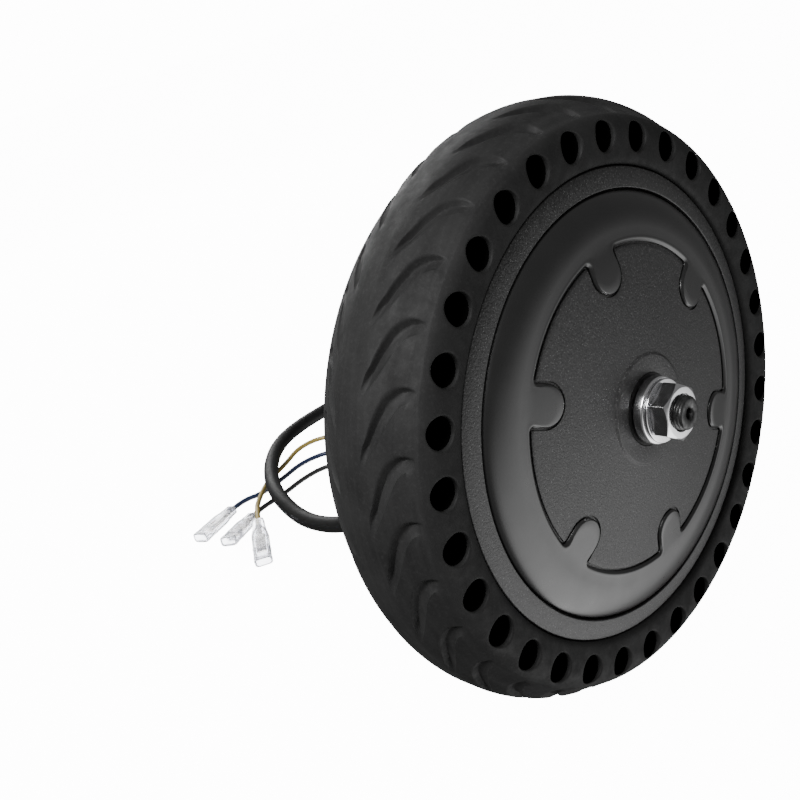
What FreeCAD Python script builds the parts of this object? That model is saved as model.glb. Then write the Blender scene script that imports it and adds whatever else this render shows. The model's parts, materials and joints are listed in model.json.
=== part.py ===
import FreeCAD, Part
import math
import os

# Hub motor wheel: a solid honeycomb tyre on a gearless hub motor.
# Frame: origin at the wheel's centre, +Y along the axle towards the cable side, +Z up.
# All lengths are in millimetres and all angles in degrees.

# ---- driving dimensions: tyre ----
TYRE_R = 107.5
CROWN_FLAT = 3.5
CROWN_MID_R, CROWN_MID_H = 106.3, 9.3
CROWN_EDGE_R, CROWN_EDGE_H = 102.9, 15.4
SHOULDER_R, SHOULDER_H = 99.2, 21.6
SIDEWALL_R, SIDEWALL_H = 92.1, 24.4
TYRE_LIP_R, TYRE_LIP_H = 82.8, 22.9
TYRE_LIP_ROLL_R, TYRE_LIP_ROLL_H = 85.4, 23.9
SIDEWALL_FLAT_R = 90.1
SHOULDER_MID_R, SHOULDER_MID_H = 96.0, 23.7
BEAD_R, BEAD_H = 70.15, 15.4
SIDE_HOLES = 32
SIDE_HOLE_R = 5.1
SIDE_HOLE_DEPTH = 17.0

# ---- driving dimensions: hub shell ----
FLANGE_R = 82.45
FLANGE_EDGE_H, FLANGE_FACE_H = 22.1, 23.7
FLANGE_ROUND = 0.5
SEAT_R = 70.1
WEB_INNER_H, WEB_OUTER_H = 15.5, 18.5
RECESS_R = 75.0
DRUM_BORE_R = 64.0

# ---- driving dimensions: covers and trim ----
COVER_R = 74.85
GASKET_THICK = 0.5
COVER_RIM_THICK = 3.0
COVER_RIM_LOW_H = WEB_OUTER_H + GASKET_THICK + 0.05
COVER_RIM_TOP_H = COVER_RIM_LOW_H + COVER_RIM_THICK
STEP_R, STEP_TOP_R = 60.5, 58.3
DOME = ((58.3, 26.7), (40.0, 29.4), (17.2, 31.9))
DOME_WALL = 3.2
BOSS_R, BOSS_H = 18.9, 32.4
OPENING_R, SEAL_SHELF_R, SEAL_SHELF_H = 12.55, 12.0, 28.9
SEAL_WALL_R = 19.5
TRIM_R, TRIM_INNER_R = 74.5, 57.0
TRIM_RELIEF = 0.9
TRIM_RIM_H = 23.0
TRIM_LIFT = 0.06
TABS = 6
TAB_PHASE = 32.0
TAB_TIP_R = 43.35
TAB_WIDTH = 13.4
COVER_SCREWS = 6
SCREW_PCD_R = 67.0
SCREW_R, SCREW_HEAD_R, SCREW_LENGTH = 2.0, 3.6, 12.0
SCREW_SOCKET, SCREW_SOCKET_DEPTH = 2.5, 1.3
SCREW_CLEARANCE = 0.25

# ---- driving dimensions: axle and its hardware ----
AXLE_HALF = 47.7
AXLE_CHAMFER = 0.8
THREAD_R, JOURNAL_R, AXLE_BODY_R = 5.9, 6.0, 8.5
AXLE_SHOULDER_H = 20.35
JOURNAL_END_H = 28.6
CENTRE_HOLE_R, CENTRE_HOLE_DEPTH = 2.1, 6.0
WIRE_BORE_R, WIRE_BORE_END = 3.5, 13.0
CROSS_HOLE_R, CROSS_HOLE_Y = 3.1, 17.2
COLLAR_SLEEVE_R, COLLAR_R = 8.0, 11.8
COLLAR_START_H, COLLAR_FACE_H, COLLAR_END_H = 28.55, 33.3, 37.0
WASHER_R, WASHER_END_H = 11.1, 38.3
NUT_ACROSS_FLATS, NUT_START_H, NUT_END_H = 18.0, 38.35, 44.9
NUT_PHASE = 24.0

# ---- driving dimensions: bearings, 12 x 28 x 8 ----
BEARING_INNER_R, BEARING_OUTER_R, BEARING_WIDTH = 6.0, 14.0, 8.0
BEARING_H = 24.4
BALLS, BALL_R, BALL_PITCH_R, RACE_R = 8, 2.38, 10.1, 2.46
CAGE_INNER_R, CAGE_OUTER_R, CAGE_WIDTH, POCKET_R = 9.4, 10.8, 6.0, 2.55

# ---- driving dimensions: motor ----
SLOTS = 27
MAGNETS = 30
STACK_HALF = 15.0
YOKE_INNER_R, YOKE_OUTER_R = 43.0, 47.5
TOOTH_HALF_WIDTH, SHOE_INNER_R, STATOR_R, SHOE_HALF_ANGLE = 3.0, 54.4, 56.3, 5.0
BOARD_INNER_R, BOARD_OUTER_R, BOARD_ANGLE = 43.2, 47.4, 70.0
BOARD_LOW_H, BOARD_HIGH_H = 16.1, 17.6
COIL_INNER_R, COIL_OUTER_R = 48.0, 54.0
COIL_HALF_OPENING, COIL_HALF_WIDTH = 3.2, 5.4
COIL_INNER_H, COIL_OUTER_H = 16.1, 20.3
INSULATOR_THICK = 1.0
MAGNET_INNER_R, MAGNET_OUTER_R, MAGNET_HALF_H, MAGNET_GAP = 57.0, 59.95, 15.3, 0.9
FLUX_RING_INNER_R, FLUX_RING_OUTER_R = 60.0, 63.95
CARRIER_OUTER_R, CARRIER_RIM_R, CARRIER_HUB_R, CARRIER_BORE_R = 42.95, 38.0, 14.0, 8.55
CARRIER_HUB_H, CARRIER_WEB_H, CARRIER_RIM_H = 12.0, 5.0, 14.5
CARRIER_HOLES, CARRIER_HOLE_R, CARRIER_HOLE_PCD_R = 6, 7.5, 27.0

# ---- driving dimensions: cable ----
FLOOR_Z = -TYRE_R
CABLE_R = 4.6
WIRE_R = 1.5
SLEEVE_LENGTH = 14.0
RELIEF_PLUG_Y, RELIEF_END_Y = 36.1, 70.0
RELIEF_COLLAR_R, RELIEF_COLLAR_LENGTH = 5.9, 3.2
HOUSING_LENGTH, HOUSING_WIDTH, HOUSING_THICK, HOUSING_WALL = 34.0, 10.0, 6.0, 1.1
WIRE_INSERTION = 4.0
BARREL_R, BARREL_LENGTH = 1.7, 8.0
BLADE_WIDTH, BLADE_THICK, BLADE_LENGTH = 6.3, 0.8, 16.0
CABLE_Z = FLOOR_Z + CABLE_R
HUMP_Z = -95.0
WIRE_Z = FLOOR_Z + WIRE_R

CABLE_ROUTE = [
    (0, RELIEF_END_Y, 0), (0, 98, 0), (1, 130, -17), (4, 149, -47), (7, 160, -80),
    (9, 186, -100), (5, 222, CABLE_Z), (11, 254, HUMP_Z), (31, 288, HUMP_Z),
    (60, 321, -98.5), (90, 341, CABLE_Z), (121, 341, CABLE_Z), (152, 334, CABLE_Z),
    (182, 318, CABLE_Z), (199, 289, CABLE_Z), (195.5, 255, CABLE_Z),
    (172.5, 229.5, CABLE_Z), (139.4, 222.4, -102.6),
]
YELLOW_ROUTE = [
    (125.1, 222.6, -102.6), (108.4, 220.2, -104.4), (95.4, 230.5, -105.6), (91.7, 251, WIRE_Z),
    (95, 274, WIRE_Z), (98.5, 295.5, WIRE_Z), (91, 313, WIRE_Z), (74.5, 317.5, WIRE_Z),
    (57, 308.5, WIRE_Z), (40, 299.5, -104.2), (28, 290.5, -101.6), (14.5, 277, -99),
    (3.5, 264.5, -96.5), (-6, 251, -93), (-14.4, 239.7, -96.6),
]
BLUE_ROUTE = [
    (125.7, 219.5, -102.6), (105.5, 215.4, -104.6), (90, 226, -105.7), (84.5, 246.5, WIRE_Z),
    (84.5, 269.5, WIRE_Z), (77, 288.5, WIRE_Z), (59.5, 296, WIRE_Z), (40.5, 292, WIRE_Z),
    (22, 290.3, WIRE_Z), (9.5, 295.5, -104.9), (-4.4, 290.2, -104.1),
]
BLACK_ROUTE = [
    (126.3, 216.5, -102.6), (103, 211.2, -104.8), (84, 221, -105.8), (74.5, 239.5, WIRE_Z),
    (71.5, 259, WIRE_Z), (62, 273, WIRE_Z), (44.5, 276, WIRE_Z), (27, 273.2, WIRE_Z),
    (15, 274.2, WIRE_Z), (5.5, 271.5, -104.8), (-5, 265.3, -103.2),
]
WIRES = {"yellow": YELLOW_ROUTE, "blue": BLUE_ROUTE, "black": BLACK_ROUTE}

FRONT, BACK = -1, 1
SIDES = {"front": FRONT, "back": BACK}
AXIS = FreeCAD.Vector(0, 1, 0)
ORIGIN = FreeCAD.Vector(0, 0, 0)


# ---- helpers ----
def vec(point):
    return FreeCAD.Vector(*point)


def turned(outline, side=1):
    """Ring turned about the axle from an outline of (radius, height) points.

    An entry holding two points is an arc through the first to the second.
    Height is measured from the wheel's middle plane, towards +Y when side is 1.
    """
    edges = []
    here = FreeCAD.Vector(outline[0][0], side * outline[0][1], 0)
    start = here
    for entry in list(outline[1:]) + [outline[0]]:
        if isinstance(entry[0], tuple):
            middle = FreeCAD.Vector(entry[0][0], side * entry[0][1], 0)
            there = FreeCAD.Vector(entry[1][0], side * entry[1][1], 0)
            edges.append(Part.Arc(here, middle, there).toShape())
        else:
            there = FreeCAD.Vector(entry[0], side * entry[1], 0)
            if there.isEqual(here, 1e-7):
                continue
            edges.append(Part.LineSegment(here, there).toShape())
        here = there
    if not here.isEqual(start, 1e-7):
        edges.append(Part.LineSegment(here, start).toShape())
    face = Part.Face(Part.Wire(edges))
    return face.revolve(ORIGIN, AXIS, 360)


def rod(radius, low, high):
    """Cylinder on the axle line from y = low to y = high."""
    return Part.makeCylinder(radius, high - low, FreeCAD.Vector(0, low, 0), AXIS)


def spun(shape, angle):
    copy = shape.copy()
    copy.rotate(ORIGIN, AXIS, -angle)
    return copy


def around(shape, count, phase=0.0):
    """Copies of a shape at equal angles round the axle, the first at the phase."""
    return [spun(shape, phase + 360.0 * i / count) for i in range(count)]


def side_rod(radius, pitch_r, low, high, side):
    """Cylinder along the axle's direction, at a pitch radius on the +X side."""
    start = FreeCAD.Vector(pitch_r, min(side * low, side * high), 0)
    return Part.makeCylinder(radius, abs(high - low), start, AXIS)


def dome_height(radius, lift=0.0):
    """Height of the covers' outer dome, an arc through three points, at a radius."""
    (r1, h1), (r2, h2), (r3, h3) = DOME
    a = r1 - r2
    b = h1 - h2
    c = r1 - r3
    d = h1 - h3
    e = (r1 * r1 - r2 * r2 + h1 * h1 - h2 * h2) / 2
    f = (r1 * r1 - r3 * r3 + h1 * h1 - h3 * h3) / 2
    centre_r = (e * d - b * f) / (a * d - b * c)
    centre_h = (a * f - e * c) / (a * d - b * c)
    arc_r = math.hypot(r1 - centre_r, h1 - centre_h)
    return centre_h + math.sqrt(arc_r ** 2 - (radius - centre_r) ** 2) + lift


def dome_arc(start_r, end_r, lift=0.0):
    """Outline entries that follow the dome from one radius to another."""
    middle = (start_r + end_r) / 2
    return [(start_r, dome_height(start_r, lift)),
            ((middle, dome_height(middle, lift)), (end_r, dome_height(end_r, lift)))]


# ---- tyre and hub shell ----
def tyre():
    half = [(BEAD_R, BEAD_H), (TYRE_LIP_R, BEAD_H), (TYRE_LIP_R, TYRE_LIP_H - 0.6),
            (TYRE_LIP_ROLL_R, TYRE_LIP_ROLL_H), (SIDEWALL_FLAT_R, SIDEWALL_H), (SIDEWALL_R, SIDEWALL_H),
            ((SHOULDER_MID_R, SHOULDER_MID_H), (SHOULDER_R, SHOULDER_H)), (CROWN_EDGE_R, CROWN_EDGE_H),
            ((CROWN_MID_R, CROWN_MID_H), (TYRE_R, CROWN_FLAT))]
    body = turned(half + [(TYRE_R, 0), (BEAD_R, 0)], BACK)
    body = body.fuse(turned(half + [(TYRE_R, 0), (BEAD_R, 0)], FRONT)).removeSplitter()
    pitch = 360.0 / SIDE_HOLES
    bottom = SIDEWALL_H - SIDE_HOLE_DEPTH
    front_hole = side_rod(SIDE_HOLE_R, SIDEWALL_R, bottom, SIDEWALL_H + 2, FRONT)
    back_hole = side_rod(SIDE_HOLE_R, SIDEWALL_R, bottom, SIDEWALL_H + 2, BACK)
    holes = around(front_hole, SIDE_HOLES) + around(back_hole, SIDE_HOLES, pitch / 2)
    return body.cut(Part.makeCompound(holes))


def hub_shell():
    """Rim and drum: a sloping flange each side, with a recess for the cover inside it."""
    half = [(RECESS_R, FLANGE_FACE_H), (FLANGE_R - FLANGE_ROUND, FLANGE_EDGE_H),
            (FLANGE_R, FLANGE_EDGE_H - FLANGE_ROUND), (FLANGE_R, WEB_INNER_H), (SEAT_R, WEB_INNER_H)]
    mirrored = [(radius, -height) for radius, height in reversed(half)]
    body = turned(half + mirrored + [(RECESS_R, -WEB_OUTER_H), (DRUM_BORE_R, -WEB_OUTER_H),
                                     (DRUM_BORE_R, WEB_OUTER_H), (RECESS_R, WEB_OUTER_H)])
    holes = []
    for side in SIDES.values():
        hole = side_rod(SCREW_R + 0.05, SCREW_PCD_R, WEB_OUTER_H - SCREW_LENGTH + 2, WEB_OUTER_H + 1, side)
        holes += around(hole, COVER_SCREWS)
    return body.cut(Part.makeCompound(holes))


def flux_ring():
    return turned([(FLUX_RING_INNER_R, -MAGNET_HALF_H), (FLUX_RING_OUTER_R, -MAGNET_HALF_H),
                   (FLUX_RING_OUTER_R, MAGNET_HALF_H), (FLUX_RING_INNER_R, MAGNET_HALF_H)])


def magnets():
    half_h = MAGNET_HALF_H - 0.3
    ring = turned([(MAGNET_INNER_R, -half_h), (MAGNET_OUTER_R, -half_h), (MAGNET_OUTER_R, half_h),
                   (MAGNET_INNER_R, half_h)])
    gap = Part.makeBox(MAGNET_OUTER_R, 4 * MAGNET_HALF_H, MAGNET_GAP,
                       FreeCAD.Vector(MAGNET_INNER_R - 1, -2 * MAGNET_HALF_H, -MAGNET_GAP / 2))
    return ring.cut(Part.makeCompound(around(gap, MAGNETS)))


# ---- covers ----
def cover(side):
    """Dished side cover with its bearing seat, seal pocket and screw rim."""
    low, top = COVER_RIM_LOW_H, COVER_RIM_TOP_H
    seat_r = BEARING_OUTER_R + 0.02
    bearing_low = BEARING_H - BEARING_WIDTH / 2
    bearing_high = BEARING_H + BEARING_WIDTH / 2
    outside = [(COVER_R, low), (COVER_R, top), (STEP_R, top)] + dome_arc(STEP_TOP_R, BOSS_R + 0.9)
    boss = [(BOSS_R, BOSS_H - 0.3), (BOSS_R - 0.4, BOSS_H), (OPENING_R, BOSS_H), (OPENING_R, SEAL_SHELF_H),
            (SEAL_SHELF_R, SEAL_SHELF_H), (SEAL_SHELF_R, bearing_high + 0.05)]
    seat = [(seat_r, bearing_high + 0.05), (seat_r, bearing_low), (seat_r + 4, bearing_low),
            (SEAL_WALL_R, dome_height(SEAL_WALL_R, -DOME_WALL - 0.8))]
    inside = dome_arc(24, 55.5, -DOME_WALL) + [(58.0, low)]
    body = turned(outside + boss + seat + inside, side)
    hole = side_rod(SCREW_R + SCREW_CLEARANCE, SCREW_PCD_R, low - 1, top + 1, side)
    holes = around(hole, COVER_SCREWS)
    if side == FRONT:
        holes += [spun(countersink(top, side), 360.0 * i / COVER_SCREWS) for i in range(COVER_SCREWS)]
    return body.cut(Part.makeCompound(holes))


def countersink(top, side):
    """Cone for a flush screw head, opening outwards at the cover rim's face."""
    depth = 2.2
    base = FreeCAD.Vector(SCREW_PCD_R, side * (top - depth), 0)
    return Part.makeCone(SCREW_R, SCREW_HEAD_R + 0.35, depth + 0.4, base, FreeCAD.Vector(0, side, 0))


def gasket(side):
    low, high = WEB_OUTER_H + 0.02, WEB_OUTER_H + GASKET_THICK
    ring = turned([(DRUM_BORE_R + 0.2, low), (COVER_R - 0.2, low),
                   (COVER_R - 0.2, high), (DRUM_BORE_R + 0.2, high)], side)
    hole = side_rod(SCREW_R + SCREW_CLEARANCE, SCREW_PCD_R, low - 1, high + 1, side)
    return ring.cut(Part.makeCompound(around(hole, COVER_SCREWS)))


def cover_screws(side):
    """Six screws: flush heads under the trim in front, button heads at the back."""
    top = COVER_RIM_TOP_H
    flush = side == FRONT
    out = FreeCAD.Vector(0, side, 0)
    shank = side_rod(SCREW_R, SCREW_PCD_R, top - SCREW_LENGTH, top - 0.5 if flush else top + 0.5, side)
    if flush:
        socket_top = top
        base = FreeCAD.Vector(SCREW_PCD_R, side * (top - 2.05), 0)
        head = Part.makeCone(SCREW_R - 0.1, SCREW_HEAD_R, 2.0, base, out)
    else:
        socket_top = top + 2.3
        base = FreeCAD.Vector(SCREW_PCD_R, side * (top + 0.03), 0)
        head = Part.makeCylinder(SCREW_HEAD_R, 2.2, base, out)
        outer_edges = [edge for edge in head.Edges if edge.Closed and side * edge.CenterOfMass.y > top + 1]
        head = head.makeFillet(0.8, outer_edges)
    socket = hexagon_prism(SCREW_SOCKET, socket_top - SCREW_SOCKET_DEPTH, socket_top + 0.5, side)
    socket.translate(FreeCAD.Vector(SCREW_PCD_R, 0, 0))
    screw = shank.fuse(head).cut(socket).removeSplitter()
    return Part.makeCompound(around(screw, COVER_SCREWS))


def hexagon_prism(across_flats, low, high, side, phase=0.0):
    """Hexagonal bar on the axle line, its first corner at the phase angle."""
    corner_r = across_flats / math.sqrt(3)
    corners = []
    for i in range(7):
        angle = math.radians(phase + 60 * i)
        corners.append(FreeCAD.Vector(corner_r * math.cos(angle), side * low, corner_r * math.sin(angle)))
    face = Part.Face(Part.makePolygon(corners))
    return face.extrude(FreeCAD.Vector(0, side * (high - low), 0))


def trim_cover():
    """Domed trim ring over the screw rim, with six rounded tabs that lie on the dome."""
    foot_h = COVER_RIM_TOP_H + 0.1
    ring = turned([(TRIM_R, foot_h), (STEP_R + 0.6, foot_h), (STEP_TOP_R + 0.5, 26.8),
                   (TRIM_INNER_R, dome_height(TRIM_INNER_R, TRIM_LIFT)),
                   (TRIM_INNER_R, dome_height(TRIM_INNER_R, TRIM_RELIEF)),
                   ((65.5, 27.0), (71.5, 25.25)), ((73.6, 24.5), (TRIM_R, TRIM_RIM_H))], FRONT)
    tab_start_r, tab_end_r = TAB_TIP_R - 2, TRIM_INNER_R + 0.8
    under = dome_arc(tab_start_r, tab_end_r, TRIM_LIFT)
    shell = turned(under + dome_arc(tab_end_r, tab_start_r, TRIM_RELIEF), FRONT)
    round_r = TAB_WIDTH / 2
    centre_r = TAB_TIP_R + round_r
    low, high = COVER_RIM_LOW_H, BOSS_H + 2
    finger = Part.makeBox(TRIM_INNER_R + 0.4 - centre_r, high - low, TAB_WIDTH,
                          FreeCAD.Vector(centre_r, -high, -round_r))
    finger = finger.fuse(side_rod(round_r, centre_r, low, high, FRONT))
    tabs = [shell.common(f) for f in around(finger, TABS, TAB_PHASE)]
    return ring.multiFuse(tabs).removeSplitter()


def oil_seal(side):
    return turned([(COLLAR_SLEEVE_R + 0.35, 29.0), (12.5, 29.0), (12.5, 32.3), (11.0, 32.3), (10.2, 31.2),
                   (9.4, 31.2), (COLLAR_SLEEVE_R + 0.35, 31.8)], side)


# ---- bearings ----
def race_groove(side):
    return Part.makeTorus(BALL_PITCH_R, RACE_R, FreeCAD.Vector(0, side * BEARING_H, 0), AXIS)


def bearing_ring(inner_r, outer_r, side):
    low, high = BEARING_H - BEARING_WIDTH / 2, BEARING_H + BEARING_WIDTH / 2
    chamfer = 0.4
    ring = turned([(inner_r, low + chamfer), (inner_r + chamfer, low), (outer_r - chamfer, low),
                   (outer_r, low + chamfer), (outer_r, high - chamfer), (outer_r - chamfer, high),
                   (inner_r + chamfer, high), (inner_r, high - chamfer)], side)
    return ring.cut(race_groove(side))


def bearing_balls(side):
    ball = Part.makeSphere(BALL_R, FreeCAD.Vector(BALL_PITCH_R, side * BEARING_H, 0))
    return Part.makeCompound(around(ball, BALLS))


def bearing_cage(side):
    low, high = BEARING_H - CAGE_WIDTH / 2, BEARING_H + CAGE_WIDTH / 2
    ring = turned([(CAGE_INNER_R, low), (CAGE_OUTER_R, low), (CAGE_OUTER_R, high),
                   (CAGE_INNER_R, high)], side)
    pocket = Part.makeCylinder(POCKET_R, 4, FreeCAD.Vector(BALL_PITCH_R - 2, side * BEARING_H, 0),
                               FreeCAD.Vector(1, 0, 0))
    return ring.cut(Part.makeCompound(around(pocket, BALLS)))


# ---- axle and its hardware ----
def axle():
    shaft = turned([
        (0, -AXLE_HALF), (THREAD_R - AXLE_CHAMFER, -AXLE_HALF), (THREAD_R, AXLE_CHAMFER - AXLE_HALF),
        (THREAD_R, -JOURNAL_END_H),
        (JOURNAL_R, -JOURNAL_END_H), (JOURNAL_R, -AXLE_SHOULDER_H), (AXLE_BODY_R, -AXLE_SHOULDER_H),
        (AXLE_BODY_R, AXLE_SHOULDER_H), (JOURNAL_R, AXLE_SHOULDER_H), (JOURNAL_R, JOURNAL_END_H),
        (THREAD_R, JOURNAL_END_H), (THREAD_R, AXLE_HALF - AXLE_CHAMFER),
        (THREAD_R - AXLE_CHAMFER, AXLE_HALF), (0, AXLE_HALF)])
    centre_hole = rod(CENTRE_HOLE_R, -AXLE_HALF - 1, CENTRE_HOLE_DEPTH - AXLE_HALF)
    tip = FreeCAD.Vector(0, -AXLE_HALF, 0)
    countersunk = Part.makeCone(CENTRE_HOLE_R + 1.2, CENTRE_HOLE_R, 1.2, tip, AXIS)
    wire_bore = rod(WIRE_BORE_R, WIRE_BORE_END, AXLE_HALF + 1)
    cross_hole = Part.makeCylinder(CROSS_HOLE_R, AXLE_BODY_R + 1, FreeCAD.Vector(0, CROSS_HOLE_Y, 0),
                                   FreeCAD.Vector(0, 0, 1))
    keyway = key_block(0.05)
    return shaft.cut(centre_hole).cut(countersunk).cut(wire_bore).cut(cross_hole).cut(keyway)


def key_block(clearance=0.0):
    half_width, low_z, high_z, half_length = 1.5, 7.0, 10.0, 8.0
    return Part.makeBox(2 * (half_width + clearance), 2 * (half_length + clearance),
                        high_z - low_z + 2 * clearance,
                        FreeCAD.Vector(-half_width - clearance, -half_length - clearance,
                                       -high_z - clearance))


def axle_collar(side):
    return turned([(THREAD_R + 0.1, COLLAR_START_H), (COLLAR_SLEEVE_R, COLLAR_START_H),
                   (COLLAR_SLEEVE_R, COLLAR_FACE_H), (COLLAR_R - 0.3, COLLAR_FACE_H),
                   (COLLAR_R, COLLAR_FACE_H + 0.3), (COLLAR_R, COLLAR_END_H - 0.9),
                   (COLLAR_R - 0.9, COLLAR_END_H), (THREAD_R + 0.1, COLLAR_END_H)], side)


def axle_washer(side):
    low = COLLAR_END_H + 0.05
    return turned([(THREAD_R + 0.3, low), (WASHER_R, low), (WASHER_R, WASHER_END_H - 0.25),
                   (WASHER_R - 0.25, WASHER_END_H), (THREAD_R + 0.3, WASHER_END_H)], side)


def axle_nut(side):
    bar = hexagon_prism(NUT_ACROSS_FLATS, NUT_START_H, NUT_END_H, side, NUT_PHASE)
    corner_r = NUT_ACROSS_FLATS / math.sqrt(3)
    flat_r = NUT_ACROSS_FLATS / 2
    bore_r = THREAD_R + 0.05
    envelope = turned([(bore_r, NUT_START_H), (flat_r + 0.5, NUT_START_H),
                       (corner_r + 0.1, NUT_START_H + 0.5),
                       (corner_r + 0.1, NUT_END_H - 0.9), (flat_r - 0.3, NUT_END_H),
                       (bore_r + 0.7, NUT_END_H), (bore_r, NUT_END_H - 0.7)], side)
    return bar.common(envelope)


# ---- stator ----
def stator_carrier():
    body = turned([
        (CARRIER_BORE_R, -CARRIER_HUB_H), (CARRIER_HUB_R, -CARRIER_HUB_H),
        (CARRIER_HUB_R + 1.5, -CARRIER_WEB_H), (CARRIER_RIM_R - 1, -CARRIER_WEB_H),
        (CARRIER_RIM_R, -CARRIER_RIM_H), (CARRIER_OUTER_R, -CARRIER_RIM_H),
        (CARRIER_OUTER_R, CARRIER_RIM_H), (CARRIER_RIM_R, CARRIER_RIM_H),
        (CARRIER_RIM_R - 1, CARRIER_WEB_H), (CARRIER_HUB_R + 1.5, CARRIER_WEB_H),
        (CARRIER_HUB_R, CARRIER_HUB_H), (CARRIER_BORE_R, CARRIER_HUB_H)])
    hole = side_rod(CARRIER_HOLE_R, CARRIER_HOLE_PCD_R, -CARRIER_HUB_H, CARRIER_HUB_H, BACK)
    return body.cut(Part.makeCompound(around(hole, CARRIER_HOLES, 30))).cut(key_block(0.05))


def toothed_plate(low, high, yoke_inner_r, tooth_end_r, with_shoes):
    """Slotted ring between two heights: a yoke with teeth, and shoes at their ends."""
    def at(radius, angle):
        return FreeCAD.Vector(radius * math.cos(angle), low, radius * math.sin(angle))

    edges = []
    pitch = 2 * math.pi / SLOTS
    root_half = math.asin(TOOTH_HALF_WIDTH / YOKE_OUTER_R)
    neck_r = SHOE_INNER_R if with_shoes else tooth_end_r
    neck_half = math.asin(TOOTH_HALF_WIDTH / neck_r)
    shoe_half = math.radians(SHOE_HALF_ANGLE)
    for i in range(SLOTS):
        a = i * pitch
        root, neck = at(YOKE_OUTER_R, a - root_half), at(neck_r, a - neck_half)
        edges.append(Part.LineSegment(root, neck).toShape())
        neck_end = at(neck_r, a + neck_half)
        if with_shoes:
            shoe_in, shoe_out = at(SHOE_INNER_R + 0.3, a - shoe_half), at(tooth_end_r, a - shoe_half)
            shoe_out_end = at(tooth_end_r, a + shoe_half)
            shoe_in_end = at(SHOE_INNER_R + 0.3, a + shoe_half)
            edges.append(Part.LineSegment(neck, shoe_in).toShape())
            edges.append(Part.LineSegment(shoe_in, shoe_out).toShape())
            edges.append(Part.Arc(shoe_out, at(tooth_end_r, a), shoe_out_end).toShape())
            edges.append(Part.LineSegment(shoe_out_end, shoe_in_end).toShape())
            edges.append(Part.LineSegment(shoe_in_end, neck_end).toShape())
        else:
            edges.append(Part.Arc(neck, at(neck_r, a), neck_end).toShape())
        edges.append(Part.LineSegment(neck_end, at(YOKE_OUTER_R, a + root_half)).toShape())
        edges.append(Part.Arc(at(YOKE_OUTER_R, a + root_half), at(YOKE_OUTER_R, a + pitch / 2),
                              at(YOKE_OUTER_R, a + pitch - root_half)).toShape())
    plate = Part.Face(Part.Wire(edges)).extrude(FreeCAD.Vector(0, high - low, 0))
    return plate.cut(rod(yoke_inner_r, low - 1, high + 1))


def stator_core():
    return toothed_plate(-STACK_HALF, STACK_HALF, YOKE_INNER_R, STATOR_R, True)


def slot_insulator(side):
    low, high = STACK_HALF + 0.02, STACK_HALF + INSULATOR_THICK
    return toothed_plate(min(side * low, side * high), max(side * low, side * high),
                         YOKE_INNER_R + 0.5, COIL_OUTER_R, False)


def coil():
    """One tooth's winding: a rounded rectangular loop round the tooth on the +X side."""
    depth = COIL_OUTER_R - COIL_INNER_R
    outer = Part.makeBox(depth, 2 * COIL_OUTER_H, 2 * COIL_HALF_WIDTH,
                         FreeCAD.Vector(COIL_INNER_R, -COIL_OUTER_H, -COIL_HALF_WIDTH))
    corners = [edge for edge in outer.Edges if abs(edge.tangentAt(edge.FirstParameter).x) > 0.99]
    outer = outer.makeFillet(2.0, corners)
    opening = Part.makeBox(depth + 2, 2 * COIL_INNER_H, 2 * COIL_HALF_OPENING,
                           FreeCAD.Vector(COIL_INNER_R - 1, -COIL_INNER_H, -COIL_HALF_OPENING))
    return outer.cut(opening)


def phase_coils(first):
    """Nine coils of one phase: three neighbouring teeth, three times round."""
    one = coil()
    pitch = 360.0 / SLOTS
    teeth = [first + 9 * group + tooth for group in range(3) for tooth in range(3)]
    return Part.makeCompound([spun(one, tooth * pitch) for tooth in teeth])


def hall_sensor_board():
    """Curved circuit board on the cable side, with three sensors over the yoke."""
    board = turned([(BOARD_INNER_R, BOARD_LOW_H), (BOARD_OUTER_R, BOARD_LOW_H),
                    (BOARD_OUTER_R, BOARD_HIGH_H), (BOARD_INNER_R, BOARD_HIGH_H)], BACK)
    wedge = Part.makeCylinder(YOKE_OUTER_R, 2 * BOARD_HIGH_H, ORIGIN, AXIS, BOARD_ANGLE)
    board = board.common(spun(wedge, 90 + BOARD_ANGLE / 2))
    sensor = Part.makeBox(3.0, 1.5, 4.0, FreeCAD.Vector(BOARD_INNER_R + 0.6, BOARD_HIGH_H - 0.02, -2.0))
    sensors = [spun(sensor, angle) for angle in (65, 90, 115)]
    return board.multiFuse(sensors)


def inner_leads():
    """Lead bundle from the axle's bore out of the cross hole to the sensor board."""
    bundle_r = 2.6
    along = rod(bundle_r, CROSS_HOLE_Y, 36.0)
    up = Part.makeCylinder(bundle_r, 42.9, FreeCAD.Vector(0, CROSS_HOLE_Y, 0), FreeCAD.Vector(0, 0, 1))
    corner = Part.makeSphere(bundle_r, FreeCAD.Vector(0, CROSS_HOLE_Y, 0))
    return along.fuse(up).fuse(corner).removeSplitter()


# ---- cable ----
def cable_strain_relief():
    """Rubber boot: a plug in the axle's bore, a collar on its end and a taper along the cable."""
    face_y = AXLE_HALF + 0.05
    collar_end_y = face_y + RELIEF_COLLAR_LENGTH
    return turned([(0, RELIEF_PLUG_Y), (WIRE_BORE_R - 0.1, RELIEF_PLUG_Y), (WIRE_BORE_R - 0.1, face_y),
                   (RELIEF_COLLAR_R - 0.2, face_y), (RELIEF_COLLAR_R, face_y + 0.3),
                   (RELIEF_COLLAR_R, collar_end_y), (RELIEF_COLLAR_R - 0.4, collar_end_y + 0.4),
                   (CABLE_R + 0.5, RELIEF_END_Y), (0, RELIEF_END_Y)], BACK)


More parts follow.
